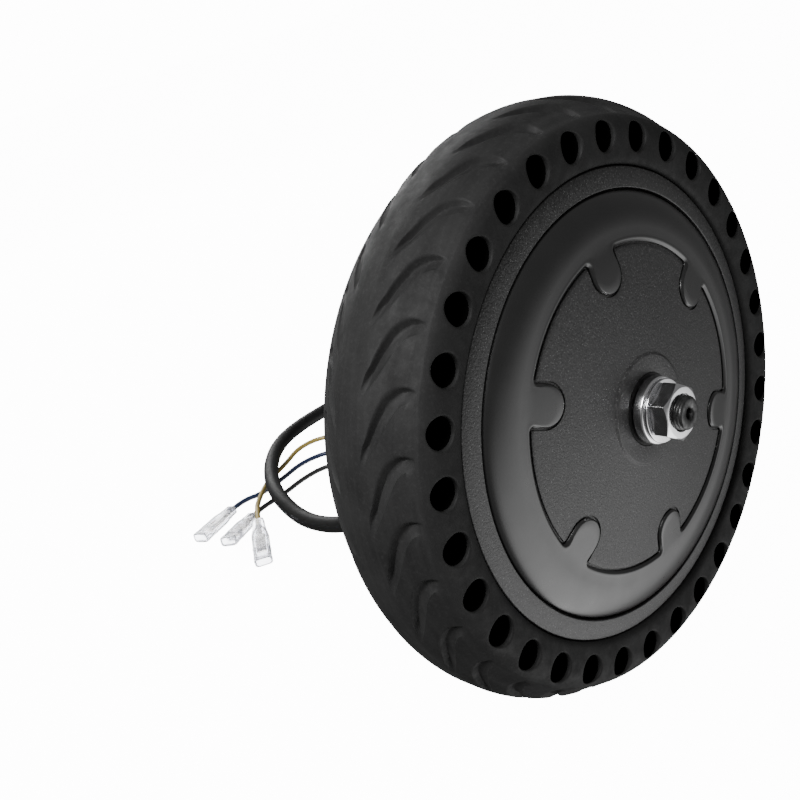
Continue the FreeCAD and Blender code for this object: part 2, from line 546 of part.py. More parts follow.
def tube(name, route, radius):
    """Round bar along straight runs joined by tangent arcs as large as the runs allow."""
    points = [vec(p) for p in route]
    edges = []
    here = points[0]
    radii = []
    for before, corner, after in zip(points, points[1:], points[2:]):
        arrive, leave = corner - before, after - corner
        shorter = min(arrive.Length, leave.Length)
        half_turn = arrive.getAngle(leave) / 2
        arrive.normalize()
        leave.normalize()
        reach = 0.45 * shorter
        arc_radius = reach / math.tan(half_turn)
        radii.append(arc_radius)
        first, last = corner - arrive * reach, corner + leave * reach
        bisector = leave - arrive
        bisector.normalize()
        middle = corner + bisector * (arc_radius / math.cos(half_turn) - arc_radius)
        edges.append(Part.LineSegment(here, first).toShape())
        edges.append(Part.Arc(first, middle, last).toShape())
        here = last
    edges.append(Part.LineSegment(here, points[-1]).toShape())
    path = Part.Wire(edges)
    section = Part.Wire(Part.makeCircle(radius, points[0], points[1] - points[0]))
    solid = path.makePipeShell([section], True, False)
    expected = math.pi * radius ** 2 * path.Length
    print("%s: length %.0f mm, tightest radius %.1f mm (%.1f diameters), volume ratio %.4f"
          % (name, path.Length, min(radii), min(radii) / radius / 2, solid.Volume / expected))
    return solid


def cable_sleeve():
    """Shrink sleeve where the three wires leave the cable's sheath."""
    end, before = vec(CABLE_ROUTE[-1]), vec(CABLE_ROUTE[-2])
    return Part.makeCylinder(CABLE_R, SLEEVE_LENGTH, end, end - before)


def placed_on_wire(shape, route):
    """Moves a shape from its own frame, +X along the wire, to the end of a wire."""
    end, before = vec(route[-1]), vec(route[-2])
    along = (end - before).normalize()
    across = FreeCAD.Vector(0, 0, 1).cross(along).normalize()
    up = along.cross(across)
    turn = FreeCAD.Matrix(along.x, across.x, up.x, end.x, along.y, across.y, up.y, end.y,
                          along.z, across.z, up.z, end.z, 0, 0, 0, 1)
    return shape.transformGeometry(turn)


def connector_housing(route):
    """Clear flat sleeve, open at the mating end, with a round hole for the wire."""
    rear = -WIRE_INSERTION
    outer = Part.makeBox(HOUSING_LENGTH, HOUSING_WIDTH, HOUSING_THICK,
                         FreeCAD.Vector(rear, -HOUSING_WIDTH / 2, -HOUSING_THICK / 2))
    long_edges = [edge for edge in outer.Edges if abs(edge.tangentAt(edge.FirstParameter).x) > 0.99]
    outer = outer.makeFillet(1.2, long_edges)
    width, thick = HOUSING_WIDTH - 2 * HOUSING_WALL, HOUSING_THICK - 2 * HOUSING_WALL
    cavity = Part.makeBox(HOUSING_LENGTH, width, thick, FreeCAD.Vector(0, -width / 2, -thick / 2))
    wire_hole = Part.makeCylinder(WIRE_R + 0.2, HOUSING_LENGTH, FreeCAD.Vector(rear - 1, 0, 0),
                                  FreeCAD.Vector(1, 0, 0))
    return placed_on_wire(outer.cut(cavity).cut(wire_hole), route)


def connector_terminal(route):
    """Flat blade terminal with the barrel that is crimped on the wire."""
    barrel = Part.makeCylinder(BARREL_R, BARREL_LENGTH, ORIGIN, FreeCAD.Vector(1, 0, 0))
    blade = Part.makeBox(BLADE_LENGTH, BLADE_WIDTH, BLADE_THICK,
                         FreeCAD.Vector(BARREL_LENGTH - 2, -BLADE_WIDTH / 2, -BLADE_THICK / 2))
    return placed_on_wire(barrel.fuse(blade).removeSplitter(), route)


# ---- the whole wheel ----
def parts():
    made = {
        "tyre": tyre(),
        "hub_shell": hub_shell(),
        "flux_ring": flux_ring(),
        "magnets": magnets(),
        "trim_cover": trim_cover(),
        "axle": axle(),
        "stator_key": key_block(),
        "stator_carrier": stator_carrier(),
        "stator_core": stator_core(),
        "phase_a_coils": phase_coils(0),
        "phase_b_coils": phase_coils(3),
        "phase_c_coils": phase_coils(6),
        "hall_sensor_board": hall_sensor_board(),
        "inner_leads": inner_leads(),
        "cable_strain_relief": cable_strain_relief(),
        "motor_cable": tube("motor_cable", CABLE_ROUTE, CABLE_R),
        "cable_sleeve": cable_sleeve(),
    }
    for name, side in SIDES.items():
        made[name + "_cover"] = cover(side)
        made[name + "_gasket"] = gasket(side)
        made[name + "_cover_screws"] = cover_screws(side)
        made[name + "_oil_seal"] = oil_seal(side)
        made[name + "_bearing_inner_ring"] = bearing_ring(BEARING_INNER_R + 0.02, 8.6, side)
        made[name + "_bearing_outer_ring"] = bearing_ring(11.6, BEARING_OUTER_R, side)
        made[name + "_bearing_balls"] = bearing_balls(side)
        made[name + "_bearing_cage"] = bearing_cage(side)
        made[name + "_axle_collar"] = axle_collar(side)
        made[name + "_axle_washer"] = axle_washer(side)
        made[name + "_axle_nut"] = axle_nut(side)
        made[name + "_slot_insulator"] = slot_insulator(side)
    for colour, route in WIRES.items():
        made[colour + "_wire"] = tube(colour + "_wire", route, WIRE_R)
        made[colour + "_connector_housing"] = connector_housing(route)
        made[colour + "_connector_terminal"] = connector_terminal(route)
    return made


os.makedirs("parts", exist_ok=True)
for node, shape in parts().items():
    if not shape.isValid():
        print("not valid:", node)
    shape.exportStep("parts/" + node + ".step")
    print(node, len(shape.Solids), "solid(s)", round(shape.Volume), "mm3")
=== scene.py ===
import json
import math

import bmesh
import bpy
import numpy as np
from mathutils import Matrix, Vector

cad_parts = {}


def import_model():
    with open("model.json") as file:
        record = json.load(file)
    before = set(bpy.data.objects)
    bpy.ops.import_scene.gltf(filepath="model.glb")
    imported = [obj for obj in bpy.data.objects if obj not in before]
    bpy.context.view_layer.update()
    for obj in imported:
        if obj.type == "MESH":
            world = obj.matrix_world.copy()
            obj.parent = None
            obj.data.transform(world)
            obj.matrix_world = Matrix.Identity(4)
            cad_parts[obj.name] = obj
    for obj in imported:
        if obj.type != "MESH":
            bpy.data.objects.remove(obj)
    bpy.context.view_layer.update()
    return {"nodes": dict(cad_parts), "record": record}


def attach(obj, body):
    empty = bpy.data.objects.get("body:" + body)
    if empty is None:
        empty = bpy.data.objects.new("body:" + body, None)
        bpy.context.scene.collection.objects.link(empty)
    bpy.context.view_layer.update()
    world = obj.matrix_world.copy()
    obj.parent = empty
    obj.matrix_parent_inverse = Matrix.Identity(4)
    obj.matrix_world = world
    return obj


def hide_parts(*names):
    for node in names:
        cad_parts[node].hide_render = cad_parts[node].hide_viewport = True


# Hub motor wheel: the looks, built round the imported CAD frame.
# Sizes are in millimetres and angles in degrees, as in the CAD source; MM turns them into metres.
# Heights are measured from the wheel's middle plane, outwards along the axle.

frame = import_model()

MM = 0.001
FRONT, BACK = -1, 1
SIDES = ((FRONT, "front"), (BACK, "back"))
ROUND_STEPS = 4
MERGE_DISTANCE = 2e-6  # metres

# ---- tyre ----
TYRE_R = 107.5
CROWN = ((3.5, TYRE_R), (9.3, 106.3), (15.4, 102.9))
SHOULDER_R, SHOULDER_H = 99.2, 21.6
SIDEWALL_R, SIDEWALL_H = 92.1, 24.4
SIDEWALL = ((SIDEWALL_R, SIDEWALL_H), (96.0, 23.7), (SHOULDER_R, SHOULDER_H))
SIDEWALL_FALL = 0.0111  # how fast the sidewall falls off inwards, with the square of the distance
LIP_R = 82.8
BEAD_R, BEAD_H = 70.15, 15.4
LIP = ((84.6, 23.72), (83.8, 23.4), (83.25, 22.95), (82.9, 22.4), (LIP_R, 21.6), (LIP_R, BEAD_H),
       (BEAD_R, BEAD_H))
SIDE_HOLES = 32
HOLE_R, HOLE_PITCH_R, HOLE_DEPTH = 5.1, 92.1, 17.0
HOLE_RIM = 0.75
# The dark of the sidewall holes is painted shade: inside this ring the rubber is coloured near black and
# loses its gloss.
HOLE_SHADE_INWARDS, HOLE_SHADE_OUTWARDS, HOLE_SHADE_BELOW = 0.6, 0.1, 1.7  # margins of the ring in which hole walls are dark
CELL_INNER_R, CELL_SIDE_STEPS = 85.4, 8
COLUMNS = 16
GROOVE_PHASE = 3.95
GROOVE_DEPTH = 1.9
GROOVE_HEAD_FADE, GROOVE_TAIL_FADE = (16.5, 21.2), (5.0, 7.4)
SHOULDER_BLEND = 1.4

# ---- hub, covers and trim ----
FLANGE_R, RECESS_R, SEAT_R, DRUM_BORE_R = 82.45, 75.0, 70.1, 64.0
FLANGE_EDGE_H, FLANGE_FACE_H = 22.1, 23.7
WEB_INNER_H, WEB_OUTER_H = 15.5, 18.5
COVER_R, COVER_LOW_H, COVER_RIM_H = 74.85, 19.05, 22.05
STEP_R, STEP_TOP_R, STEP_TOP_H = 60.5, 58.3, 26.7
DOME = ((STEP_TOP_R, STEP_TOP_H), (40.0, 29.4), (17.2, 31.9))
DOME_START_R, DOME_STEPS = 57.2, 12
BOSS_R, BOSS_H, OPENING_R = 18.9, 32.4, 12.55
SEAL_SHELF_H, SEAL_SHELF_R, SEAL_FLOOR_H = 28.9, 12.0, 22.0
HOUSING_R, HOUSING_H = 14.0, 19.5
TRIM_R, TRIM_INNER_R, TRIM_UNDER_R = 74.5, 57.0, 58.8
TRIM_RELIEF, TRIM_BEVEL, TRIM_LAND = 0.9, 1.0, 1.2
TRIM_GAP, TRIM_DOME_GAP = 0.08, 0.02
TAB_BEVEL_SHARE = 0.65
PLATE_R, JOINT_WIDTH, JOINT_DEPTH = 38.0, 0.8, 0.7
PLATE_DEPTH = JOINT_DEPTH + 0.2
TABS, TAB_PHASE, TAB_TIP_R, TAB_WIDTH = 6, 32.0, 43.35, 14.0
TAB_TURNS = [math.radians(TAB_PHASE + i * 360 / TABS) for i in range(TABS)]
TAB_ROOT_ROUND, TAB_LEAN = 1.3, 0.65
ARC_STEPS, CORNER_STEPS, EDGE_STEPS, TIP_STEPS = 24, 6, 8, 12

# ---- axle hardware ----
THREAD_R, THREAD_PITCH, THREAD_DEPTH = 5.9, 1.25, 0.62
THREAD_INNER_H, THREAD_ROWS = 28.7, 130
AXLE_HALF, AXLE_BODY_R, AXLE_BODY_H = 47.7, 8.5, 20.35
AXLE_NECK_R, AXLE_NECK_H = 6.0, 28.5
AXLE_CHAMFER = 0.75
CENTRE_HOLE_R, CENTRE_HOLE_DEPTH = 1.6, 6.0
LEAD_BORE_R, LEAD_BORE_H = 3.5, 36.0
COLLAR_SLEEVE_R, COLLAR_R = 8.0, 11.8
COLLAR_START_H, COLLAR_FACE_H, COLLAR_END_H = 28.55, 33.3, 37.0
WASHER_R, WASHER_END_H = 11.1, 38.3
NUT_ACROSS_FLATS, NUT_START_H, NUT_END_H, NUT_PHASE = 18.0, 38.35, 44.9, 24.0
NUT_CORNER_R, NUT_FACE_INSET = 0.7, 0.35

# ---- cable ----
CABLE_D, WIRE_D = 9.2, 3.0
RIBS = 6
SLEEVE_POINTS, OVAL_POINTS = 48, 40
RELIEF_END_Y = 70.0
FLOOR_Z = -107.5
CABLE_Z, HUMP_Z, WIRE_Z = -102.9, -95.0, -106.0
CABLE_ROUTE = [
    (0, RELIEF_END_Y, 0), (0, 98, 0), (1, 130, -17), (4, 149, -47), (7, 160, -80),
    (9, 186, -100), (5, 222, CABLE_Z), (11, 254, HUMP_Z), (31, 288, HUMP_Z),
    (60, 321, -98.5), (90, 341, CABLE_Z), (121, 341, CABLE_Z), (152, 334, CABLE_Z),
    (182, 318, CABLE_Z), (199, 289, CABLE_Z), (195.5, 255, CABLE_Z),
    (172.5, 229.5, CABLE_Z), (139.4, 222.4, -102.6),
]
YELLOW_ROUTE = [
    (125.1, 222.6, -102.6), (108.4, 220.2, -104.4), (95.4, 230.5, -105.6), (91.7, 251, WIRE_Z),
    (95, 274, WIRE_Z), (98.5, 295.5, WIRE_Z), (91, 313, WIRE_Z), (74.5, 317.5, WIRE_Z),
    (57, 308.5, WIRE_Z), (40, 299.5, -104.2), (28, 290.5, -101.6), (14.5, 277, -99),
    (3.5, 264.5, -96.5), (-6, 251, -93), (-14.4, 239.7, -96.6),
]
BLUE_ROUTE = [
    (125.7, 219.5, -102.6), (105.5, 215.4, -104.6), (90, 226, -105.7), (84.5, 246.5, WIRE_Z),
    (84.5, 269.5, WIRE_Z), (77, 288.5, WIRE_Z), (59.5, 296, WIRE_Z), (40.5, 292, WIRE_Z),
    (22, 290.3, WIRE_Z), (9.5, 295.5, -104.9), (-4.4, 290.2, -104.1),
]
BLACK_ROUTE = [
    (126.3, 216.5, -102.6), (103, 211.2, -104.8), (84, 221, -105.8), (74.5, 239.5, WIRE_Z),
    (71.5, 259, WIRE_Z), (62, 273, WIRE_Z), (44.5, 276, WIRE_Z), (27, 273.2, WIRE_Z),
    (15, 274.2, WIRE_Z), (5.5, 271.5, -104.8), (-5, 265.3, -103.2),
]
WIRES = {"yellow": (YELLOW_ROUTE, 253), "blue": (BLUE_ROUTE, 185), "black": (BLACK_ROUTE, 170)}


# ==== materials ====
def calculate(tree, kind, first, second):
    """The result of a math node on two numbers or sockets."""
    node = tree.nodes.new("ShaderNodeMath")
    node.operation = kind
    for socket, value in zip(node.inputs, (first, second)):
        if isinstance(value, float):
            socket.default_value = value
        else:
            tree.links.new(value, socket)
    return node.outputs["Value"]


class Look:
    """A Principled material built up from procedural textures in the piece's own coordinates."""

    SOCKETS = {"roughness": "Roughness", "metallic": "Metallic", "colour": "Base Color", "IOR": "IOR",
               "IOR_level": "Specular IOR Level", "coat": "Coat Weight", "coat_roughness": "Coat Roughness",
               "transmission": "Transmission Weight"}

    def __init__(self, name, **values):
        self.material = bpy.data.materials.new(name)
        self.material.use_nodes = True
        self.nodes = self.material.node_tree.nodes
        self.links = self.material.node_tree.links
        self.shader = self.nodes["Principled BSDF"]
        for key, value in values.items():
            socket = self.shader.inputs[self.SOCKETS[key]]
            socket.default_value = (*value, 1.0) if key == "colour" else value
        self.place = self.nodes.new("ShaderNodeTexCoord").outputs["Object"]
        self.normal = None

    def stretched(self, x, y, z):
        node = self.nodes.new("ShaderNodeMapping")
        node.inputs["Scale"].default_value = (x, y, z)
        self.links.new(self.place, node.inputs["Vector"])
        return node.outputs["Vector"]

    def noise(self, size, detail, rough, place=None):
        """Smooth noise from 0 to 1 with features of about that size in millimetres."""
        node = self.nodes.new("ShaderNodeTexNoise")
        node.inputs["Scale"].default_value = 1.0 / (size * MM)
        node.inputs["Detail"].default_value = detail
        node.inputs["Roughness"].default_value = rough
        self.links.new(place or self.place, node.inputs["Vector"])
        return node.outputs["Fac"]

    def cells(self, size):
        """Distance from scattered points that lie about that many millimetres apart."""
        node = self.nodes.new("ShaderNodeTexVoronoi")
        node.inputs["Scale"].default_value = 1.0 / (size * MM)
        self.links.new(self.place, node.inputs["Vector"])
        return node.outputs["Distance"]

    def within_ring(self, inner, outer, height):
        """1 between two distances from the axle and below a height, in millimetres, and 0 elsewhere."""
        tree = self.material.node_tree
        split = self.nodes.new("ShaderNodeSeparateXYZ")
        self.links.new(self.place, split.inputs["Vector"])
        distance = self.nodes.new("ShaderNodeVectorMath")
        distance.operation = "LENGTH"
        self.links.new(self.stretched(1.0, 0.0, 1.0), distance.inputs[0])
        radius = distance.outputs["Value"]
        across = calculate(tree, "ABSOLUTE", split.outputs["Y"], 0.0)
        past = calculate(tree, "GREATER_THAN", radius, inner * MM)
        before = calculate(tree, "LESS_THAN", radius, outer * MM)
        ring = calculate(tree, "MULTIPLY", past, before)
        return calculate(tree, "MULTIPLY", ring, calculate(tree, "LESS_THAN", across, height * MM))

    def ramp(self, value, stops):
        """Maps a value through (place, grey or colour) stops."""
        node = self.nodes.new("ShaderNodeValToRGB")
        elements = node.color_ramp.elements
        while len(elements) < len(stops):
            elements.new(1.0)
        for element, (place, colour) in zip(elements, stops):
            element.position = place
            element.color = (*colour, 1.0) if isinstance(colour, tuple) else (colour, colour, colour, 1.0)
        self.links.new(value, node.inputs["Fac"])
        return node.outputs["Color"]

    def mix(self, share, first, second):
        node = self.nodes.new("ShaderNodeMix")
        node.data_type = "RGBA"
        for socket, value in ((node.inputs[0], share), (node.inputs[6], first), (node.inputs[7], second)):
            if isinstance(value, tuple):
                socket.default_value = (*value, 1.0)
            else:
                self.links.new(value, socket)
        return node.outputs[2]

    def colour(self, value):
        self.links.new(value, self.shader.inputs["Base Color"])

    def roughness(self, value):
        self.links.new(value, self.shader.inputs["Roughness"])

    def bump(self, height, depth):
        """Relief of that many millimetres, on top of any relief given before."""
        node = self.nodes.new("ShaderNodeBump")
        node.inputs["Distance"].default_value = depth * MM
        node.inputs["Strength"].default_value = 1.0
        self.links.new(height, node.inputs["Height"])
        if self.normal:
            self.links.new(self.normal, node.inputs["Normal"])
        self.normal = node.outputs["Normal"]
        self.links.new(self.normal, self.shader.inputs["Normal"])


def grey(value):
    return (value, value, value)


def tyre_rubber():
    look = Look("tyre_rubber", roughness=0.66, IOR_level=0.16)
    mottle = look.noise(14.0, 5.0, 0.6)
    dust = look.noise(1.1, 3.0, 0.6)
    drawn = look.noise(2.2, 3.0, 0.6, look.stretched(0.07, 1.0, 0.07))
    streaks = look.ramp(drawn, [(0.42, 0.0), (0.7, 0.5)])
    base = look.mix(streaks, look.ramp(mottle, [(0.3, grey(0.0100)), (0.7, grey(0.0170))]), grey(0.021))
    dusty = look.mix(look.ramp(dust, [(0.52, 0.0), (0.78, 0.5)]), base, grey(0.028))
    # Painted shade: the hole walls and bottoms are coloured near black and lose their specular, in place of
    # the shade deep in the holes.
    painted_hole_shade = look.within_ring(HOLE_PITCH_R - HOLE_R - HOLE_SHADE_INWARDS, HOLE_PITCH_R + HOLE_R + HOLE_SHADE_OUTWARDS,
                              SIDEWALL_H - HOLE_SHADE_BELOW)
    look.colour(look.mix(painted_hole_shade, dusty, grey(0.002)))
    look.links.new(look.ramp(painted_hole_shade, [(0.0, 0.16), (1.0, 0.0)]), look.shader.inputs["Specular IOR Level"])
    look.roughness(look.ramp(look.noise(5.0, 4.0, 0.6), [(0.3, 0.58), (0.7, 0.76)]))
    look.bump(look.noise(0.55, 3.0, 0.6), 0.035)
    look.bump(look.noise(3.5, 3.0, 0.5), 0.10)
    return look.material


def powder_coat():
    look = Look("powder_coat", IOR_level=0.46)
    grain = look.noise(0.75, 3.0, 0.65)
    specks = look.ramp(look.cells(0.95), [(0.10, 1.0), (0.26, 0.0)])
    patches = look.noise(20.0, 3.0, 0.5)
    base = look.ramp(patches, [(0.3, grey(0.0135)), (0.7, grey(0.018))])
    grained = look.mix(look.ramp(grain, [(0.42, 0.0), (0.66, 0.75)]), base, grey(0.050))
    look.colour(look.mix(specks, grained, grey(0.12)))
    look.roughness(look.ramp(grain, [(0.3, 0.36), (0.7, 0.56)]))
    look.bump(grain, 0.18)
    look.bump(specks, 0.03)
    return look.material


def satin_trim():
    look = Look("trim_plastic", IOR_level=0.5, coat=0.16, coat_roughness=0.22)
    cloud = look.noise(30.0, 3.0, 0.5)
    look.colour(look.ramp(cloud, [(0.3, grey(0.011)), (0.7, grey(0.014))]))
    look.roughness(look.ramp(look.noise(9.0, 5.0, 0.6), [(0.3, 0.27), (0.7, 0.34)]))
    look.bump(look.noise(0.35, 2.0, 0.5), 0.006)
    look.bump(look.noise(16.0, 2.0, 0.5), 0.05)
    return look.material


def chrome():
    look = Look("chrome", colour=(0.66, 0.66, 0.67), metallic=1.0)
    turned_lines = look.noise(0.25, 2.0, 0.5, look.stretched(0.15, 1.0, 0.15))
    look.roughness(look.ramp(look.noise(2.5, 4.0, 0.6), [(0.3, 0.10), (0.7, 0.24)]))
    look.bump(turned_lines, 0.006)
    look.bump(look.noise(1.6, 3.0, 0.5), 0.02)
    return look.material


def axle_steel():
    look = Look("axle_steel", metallic=0.85, IOR_level=0.5)
    look.colour(look.ramp(look.noise(1.5, 4.0, 0.6), [(0.35, grey(0.03)), (0.7, grey(0.085))]))
    look.roughness(look.ramp(look.noise(0.8, 3.0, 0.6), [(0.3, 0.26), (0.7, 0.46)]))
    look.bump(look.noise(0.4, 3.0, 0.6), 0.02)
    return look.material


def metal(name, low, high, roughness, grain=0.6, tint=(1.0, 1.0, 1.0)):
    """Bare or blackened metal with a fine grain and uneven gloss."""
    look = Look(name, metallic=1.0)
    dark, light = (tuple(v * t for t in tint) for v in (low, high))
    look.colour(look.ramp(look.noise(4.0, 4.0, 0.6), [(0.3, dark), (0.7, light)]))
    look.roughness(look.ramp(look.noise(1.2, 4.0, 0.6), [(0.3, roughness - 0.08), (0.7, roughness + 0.1)]))
    look.bump(look.noise(grain, 3.0, 0.6), 0.012)
    return look.material


def moulded(name, dark, light, roughness, IOR_level=0.5, grain=0.7, relief=0.02):
    """Plastic or rubber with a slightly cloudy colour and a fine moulded grain."""
    look = Look(name, IOR_level=IOR_level)
    look.colour(look.ramp(look.noise(6.0, 4.0, 0.6), [(0.3, dark), (0.7, light)]))
    look.roughness(look.ramp(look.noise(2.0, 4.0, 0.6), [(0.3, roughness - 0.06), (0.7, roughness + 0.08)]))
    look.bump(look.noise(grain, 3.0, 0.6), relief)
    return look.material


def clear_plastic():
    look = Look("clear_plastic", colour=(0.86, 0.87, 0.91), transmission=0.8, IOR=1.47, roughness=0.12)
    look.bump(look.noise(1.8, 3.0, 0.5), 0.05)
    return look.material


MATERIALS = {
    "tyre_rubber": tyre_rubber(),
    "powder_coat": powder_coat(),
    "trim_plastic": satin_trim(),
    "chrome": chrome(),
    "axle_steel": axle_steel(),
    "cast_alloy": metal("cast_alloy", 0.42, 0.55, 0.42, 1.2),
    "rotor_steel": metal("rotor_steel", 0.22, 0.32, 0.38),
    "magnet": metal("magnet", 0.40, 0.52, 0.24),
    "lamination_steel": metal("lamination_steel", 0.20, 0.30, 0.40, 0.5),
    "bearing_steel": metal("bearing_steel", 0.55, 0.68, 0.20),
    "cage_steel": metal("cage_steel", 0.40, 0.50, 0.34),
    "screw_steel": metal("screw_steel", 0.035, 0.07, 0.36),
    "enamelled_copper": metal("enamelled_copper", 0.40, 0.62, 0.30, 0.5, (1.0, 0.42, 0.20)),
    "terminal_brass": metal("terminal_brass", 0.62, 0.78, 0.26, 0.5, (1.0, 0.95, 0.86)),
    "insulator_plastic": moulded("insulator_plastic", (0.62, 0.60, 0.54), (0.72, 0.70, 0.64), 0.48),
    "circuit_board": moulded("circuit_board", (0.01, 0.09, 0.03), (0.02, 0.13, 0.05), 0.4),
    "seal_rubber": moulded("seal_rubber", grey(0.008), grey(0.013), 0.6, 0.3),
    "cable_rubber": moulded("cable_rubber", grey(0.004), grey(0.007), 0.55, 0.2, 0.9, 0.03),
    "yellow_insulation": moulded("yellow_insulation", (0.22, 0.16, 0.035), (0.31, 0.23, 0.055), 0.40),
    "blue_insulation": moulded("blue_insulation", (0.004, 0.010, 0.040), (0.007, 0.018, 0.060), 0.38),
    "black_insulation": moulded("black_insulation", grey(0.010), grey(0.016), 0.38),
    "clear_plastic": clear_plastic(),
}


def dress_cad_nodes():
    """Gives every CAD node the material of its slot in the record."""
    for part in frame["record"]["subparts"]:
        slots = frame["nodes"][part["node"]].data.materials
        slots.clear()
        slots.append(MATERIALS[part["material_slot"]])


# ==== mesh helpers ====
def arc_value(three_points):
    """The upper circle through three (x, value) points, as a function from x to value."""
    (x1, v1), (x2, v2), (x3, v3) = three_points
    a, b, c, d = x1 - x2, v1 - v2, x1 - x3, v1 - v3
    e = (x1 * x1 - x2 * x2 + v1 * v1 - v2 * v2) / 2
    f = (x1 * x1 - x3 * x3 + v1 * v1 - v3 * v3) / 2
    centre_x, centre_v = (e * d - b * f) / (a * d - b * c), (a * f - e * c) / (a * d - b * c)
    radius = math.hypot(x1 - centre_x, v1 - centre_v)
    return lambda x: centre_v + math.sqrt(radius ** 2 - (x - centre_x) ** 2)


dome_height = arc_value(DOME)


def rounded(corners):
    """A closed outline of (x, y) corners, where a third number rounds the corner by that radius."""
    made = []
    count = len(corners)
    for i, corner in enumerate(corners):
        here = Vector(corner[:2])
        if len(corner) < 3:
            made.append(tuple(here))
            continue
        arrive = (here - Vector(corners[i - 1][:2])).normalized()
        leave = (Vector(corners[(i + 1) % count][:2]) - here).normalized()
        turn = arrive.angle(leave)
        if turn < 1e-3:
            made.append(tuple(here))
            continue
        reach = corner[2] * math.tan(turn / 2)
        centre = here + (leave - arrive).normalized() * corner[2] / math.cos(turn / 2)
        first, last = here - arrive * reach - centre, here + leave * reach - centre
        for step in range(ROUND_STEPS + 1):
            share = step / ROUND_STEPS
            swing = first * math.sin((1 - share) * turn) + last * math.sin(share * turn)
            made.append(tuple(centre + swing / math.sin(turn)))
    return made


def new_piece(name, points, faces, material, body, node, sharp=40, merge=False):
    """A mesh piece from points in millimetres that stands for a CAD node. Its normals face outwards."""
    mesh = bpy.data.meshes.new(name)
    mesh.from_pydata((np.asarray(points, float) * MM).tolist(), [], faces)
    work = bmesh.new()
    work.from_mesh(mesh)
    if merge:
        bmesh.ops.remove_doubles(work, verts=work.verts, dist=MERGE_DISTANCE)
    bmesh.ops.recalc_face_normals(work, faces=work.faces)
    work.to_mesh(mesh)
    work.free()
    mesh.polygons.foreach_set("use_smooth", [True] * len(mesh.polygons))
    mesh.set_sharp_from_angle(angle=math.radians(sharp))
    mesh.materials.append(MATERIALS[material])
    piece = bpy.data.objects.new(name, mesh)
    bpy.context.scene.collection.objects.link(piece)
    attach(piece, body)
    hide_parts(node)
    return piece


def skin(rings, along=False):
    """Points and quads through rings of equally many points; along joins the last ring to the first."""
    count, wide = len(rings), len(rings[0])
    points = [point for ring in rings for point in ring]
    faces = []
    for i in range(count if along else count - 1):
        low, high = i * wide, (i + 1) % count * wide
        for j in range(wide):
            k = (j + 1) % wide
            faces.append((low + j, low + k, high + k, high + j))
    return points, faces


def with_ends(points, faces, wide):
    """Closes the first and last ring of a skin with a face each."""
    last = len(points) - wide
    return points, faces + [tuple(range(wide - 1, -1, -1)), tuple(range(last, last + wide))]


def circle(radius, height, side, count, wave=None):
    """A ring of points round the axle. wave(angle) adds to the radius."""
    ring = []
    for i in range(count):
        angle = 2 * math.pi * i / count
        r = radius + (wave(angle) if wave else 0)
        ring.append((r * math.cos(angle), side * height, r * math.sin(angle)))
    return ring


def turned(name, outline, side, material, body, node, count=192):
    """A ring turned about the axle from a closed outline of (radius, height) corners."""
    rings = [circle(r, h, side, count) for r, h in rounded(outline)]
    points, faces = skin(rings, along=True)
    return new_piece(name, points, faces, material, body, node)


# ==== tyre ====
PITCH = 360 / SIDE_HOLES
COLUMN_STEP = PITCH / COLUMNS
# A groove runs straight across from the shoulder and then sweeps round towards the crown's middle.
# Its two edges are (height, angle past the head's upper corner).
UPPER_EDGE = [(5.1, 12.6), (5.5, 11.3), (7.6, 8.1), (9.8, 4.8), (12.5, 1.6), (15.0, 0.15), (21.6, 0.0)]
LOWER_EDGE = [(5.1, 14.1), (5.6, 13.7), (10.5, 9.7), (13.1, 6.7), (15.5, 3.8), (17.5, 2.6), (20.3, 2.2),
              (21.6, 2.1)]
# Across a groove, from its steep upper wall to its gentle lower slope: (share of width, share of depth).
GROOVE_SECTION = [(-0.10, 0.0), (0.0, 0.04), (0.07, 0.30), (0.17, 0.86), (0.25, 1.0), (0.45, 0.80),
                  (0.70, 0.50), (0.90, 0.30), (1.0, 0.0)]
GROOVE_FIRST_COLUMN = 6

crown_radius = arc_value(CROWN)
side_height = arc_value(SIDEWALL)


def smooth(low, high, value):
    share = min(1.0, max(0.0, (value - low) / (high - low)))
    return share * share * (3 - 2 * share)


def edge_curve(points):
    """A smooth curve through (height, angle) points, as a function of height."""
    heights = np.array([p[0] for p in points])
    angles = np.array([p[1] for p in points])
    slopes = np.gradient(angles, heights)

    def value(height):
        height = min(max(height, heights[0]), heights[-1])
        i = min(int(np.searchsorted(heights, height, "right")) - 1, len(heights) - 2)
        span = heights[i + 1] - heights[i]
        t = (height - heights[i]) / span
        return ((2 * t ** 3 - 3 * t ** 2 + 1) * angles[i] + (t ** 3 - 2 * t ** 2 + t) * span * slopes[i]
                + (3 * t ** 2 - 2 * t ** 3) * angles[i + 1] + (t ** 3 - t ** 2) * span * slopes[i + 1])
    return value


upper_edge, lower_edge = edge_curve(UPPER_EDGE), edge_curve(LOWER_EDGE)


def crown_surface(height):
    if height <= CROWN[0][0]:
        return TYRE_R
    if height <= CROWN[2][0]:
        return crown_radius(height)
    share = (height - CROWN[2][0]) / (SHOULDER_H - CROWN[2][0])
    return CROWN[2][1] + (SHOULDER_R - CROWN[2][1]) * share


def sidewall_surface(radius):
    if radius >= SIDEWALL_R:
        return side_height(radius)
    return SIDEWALL_H - SIDEWALL_FALL * (SIDEWALL_R - radius) ** 2


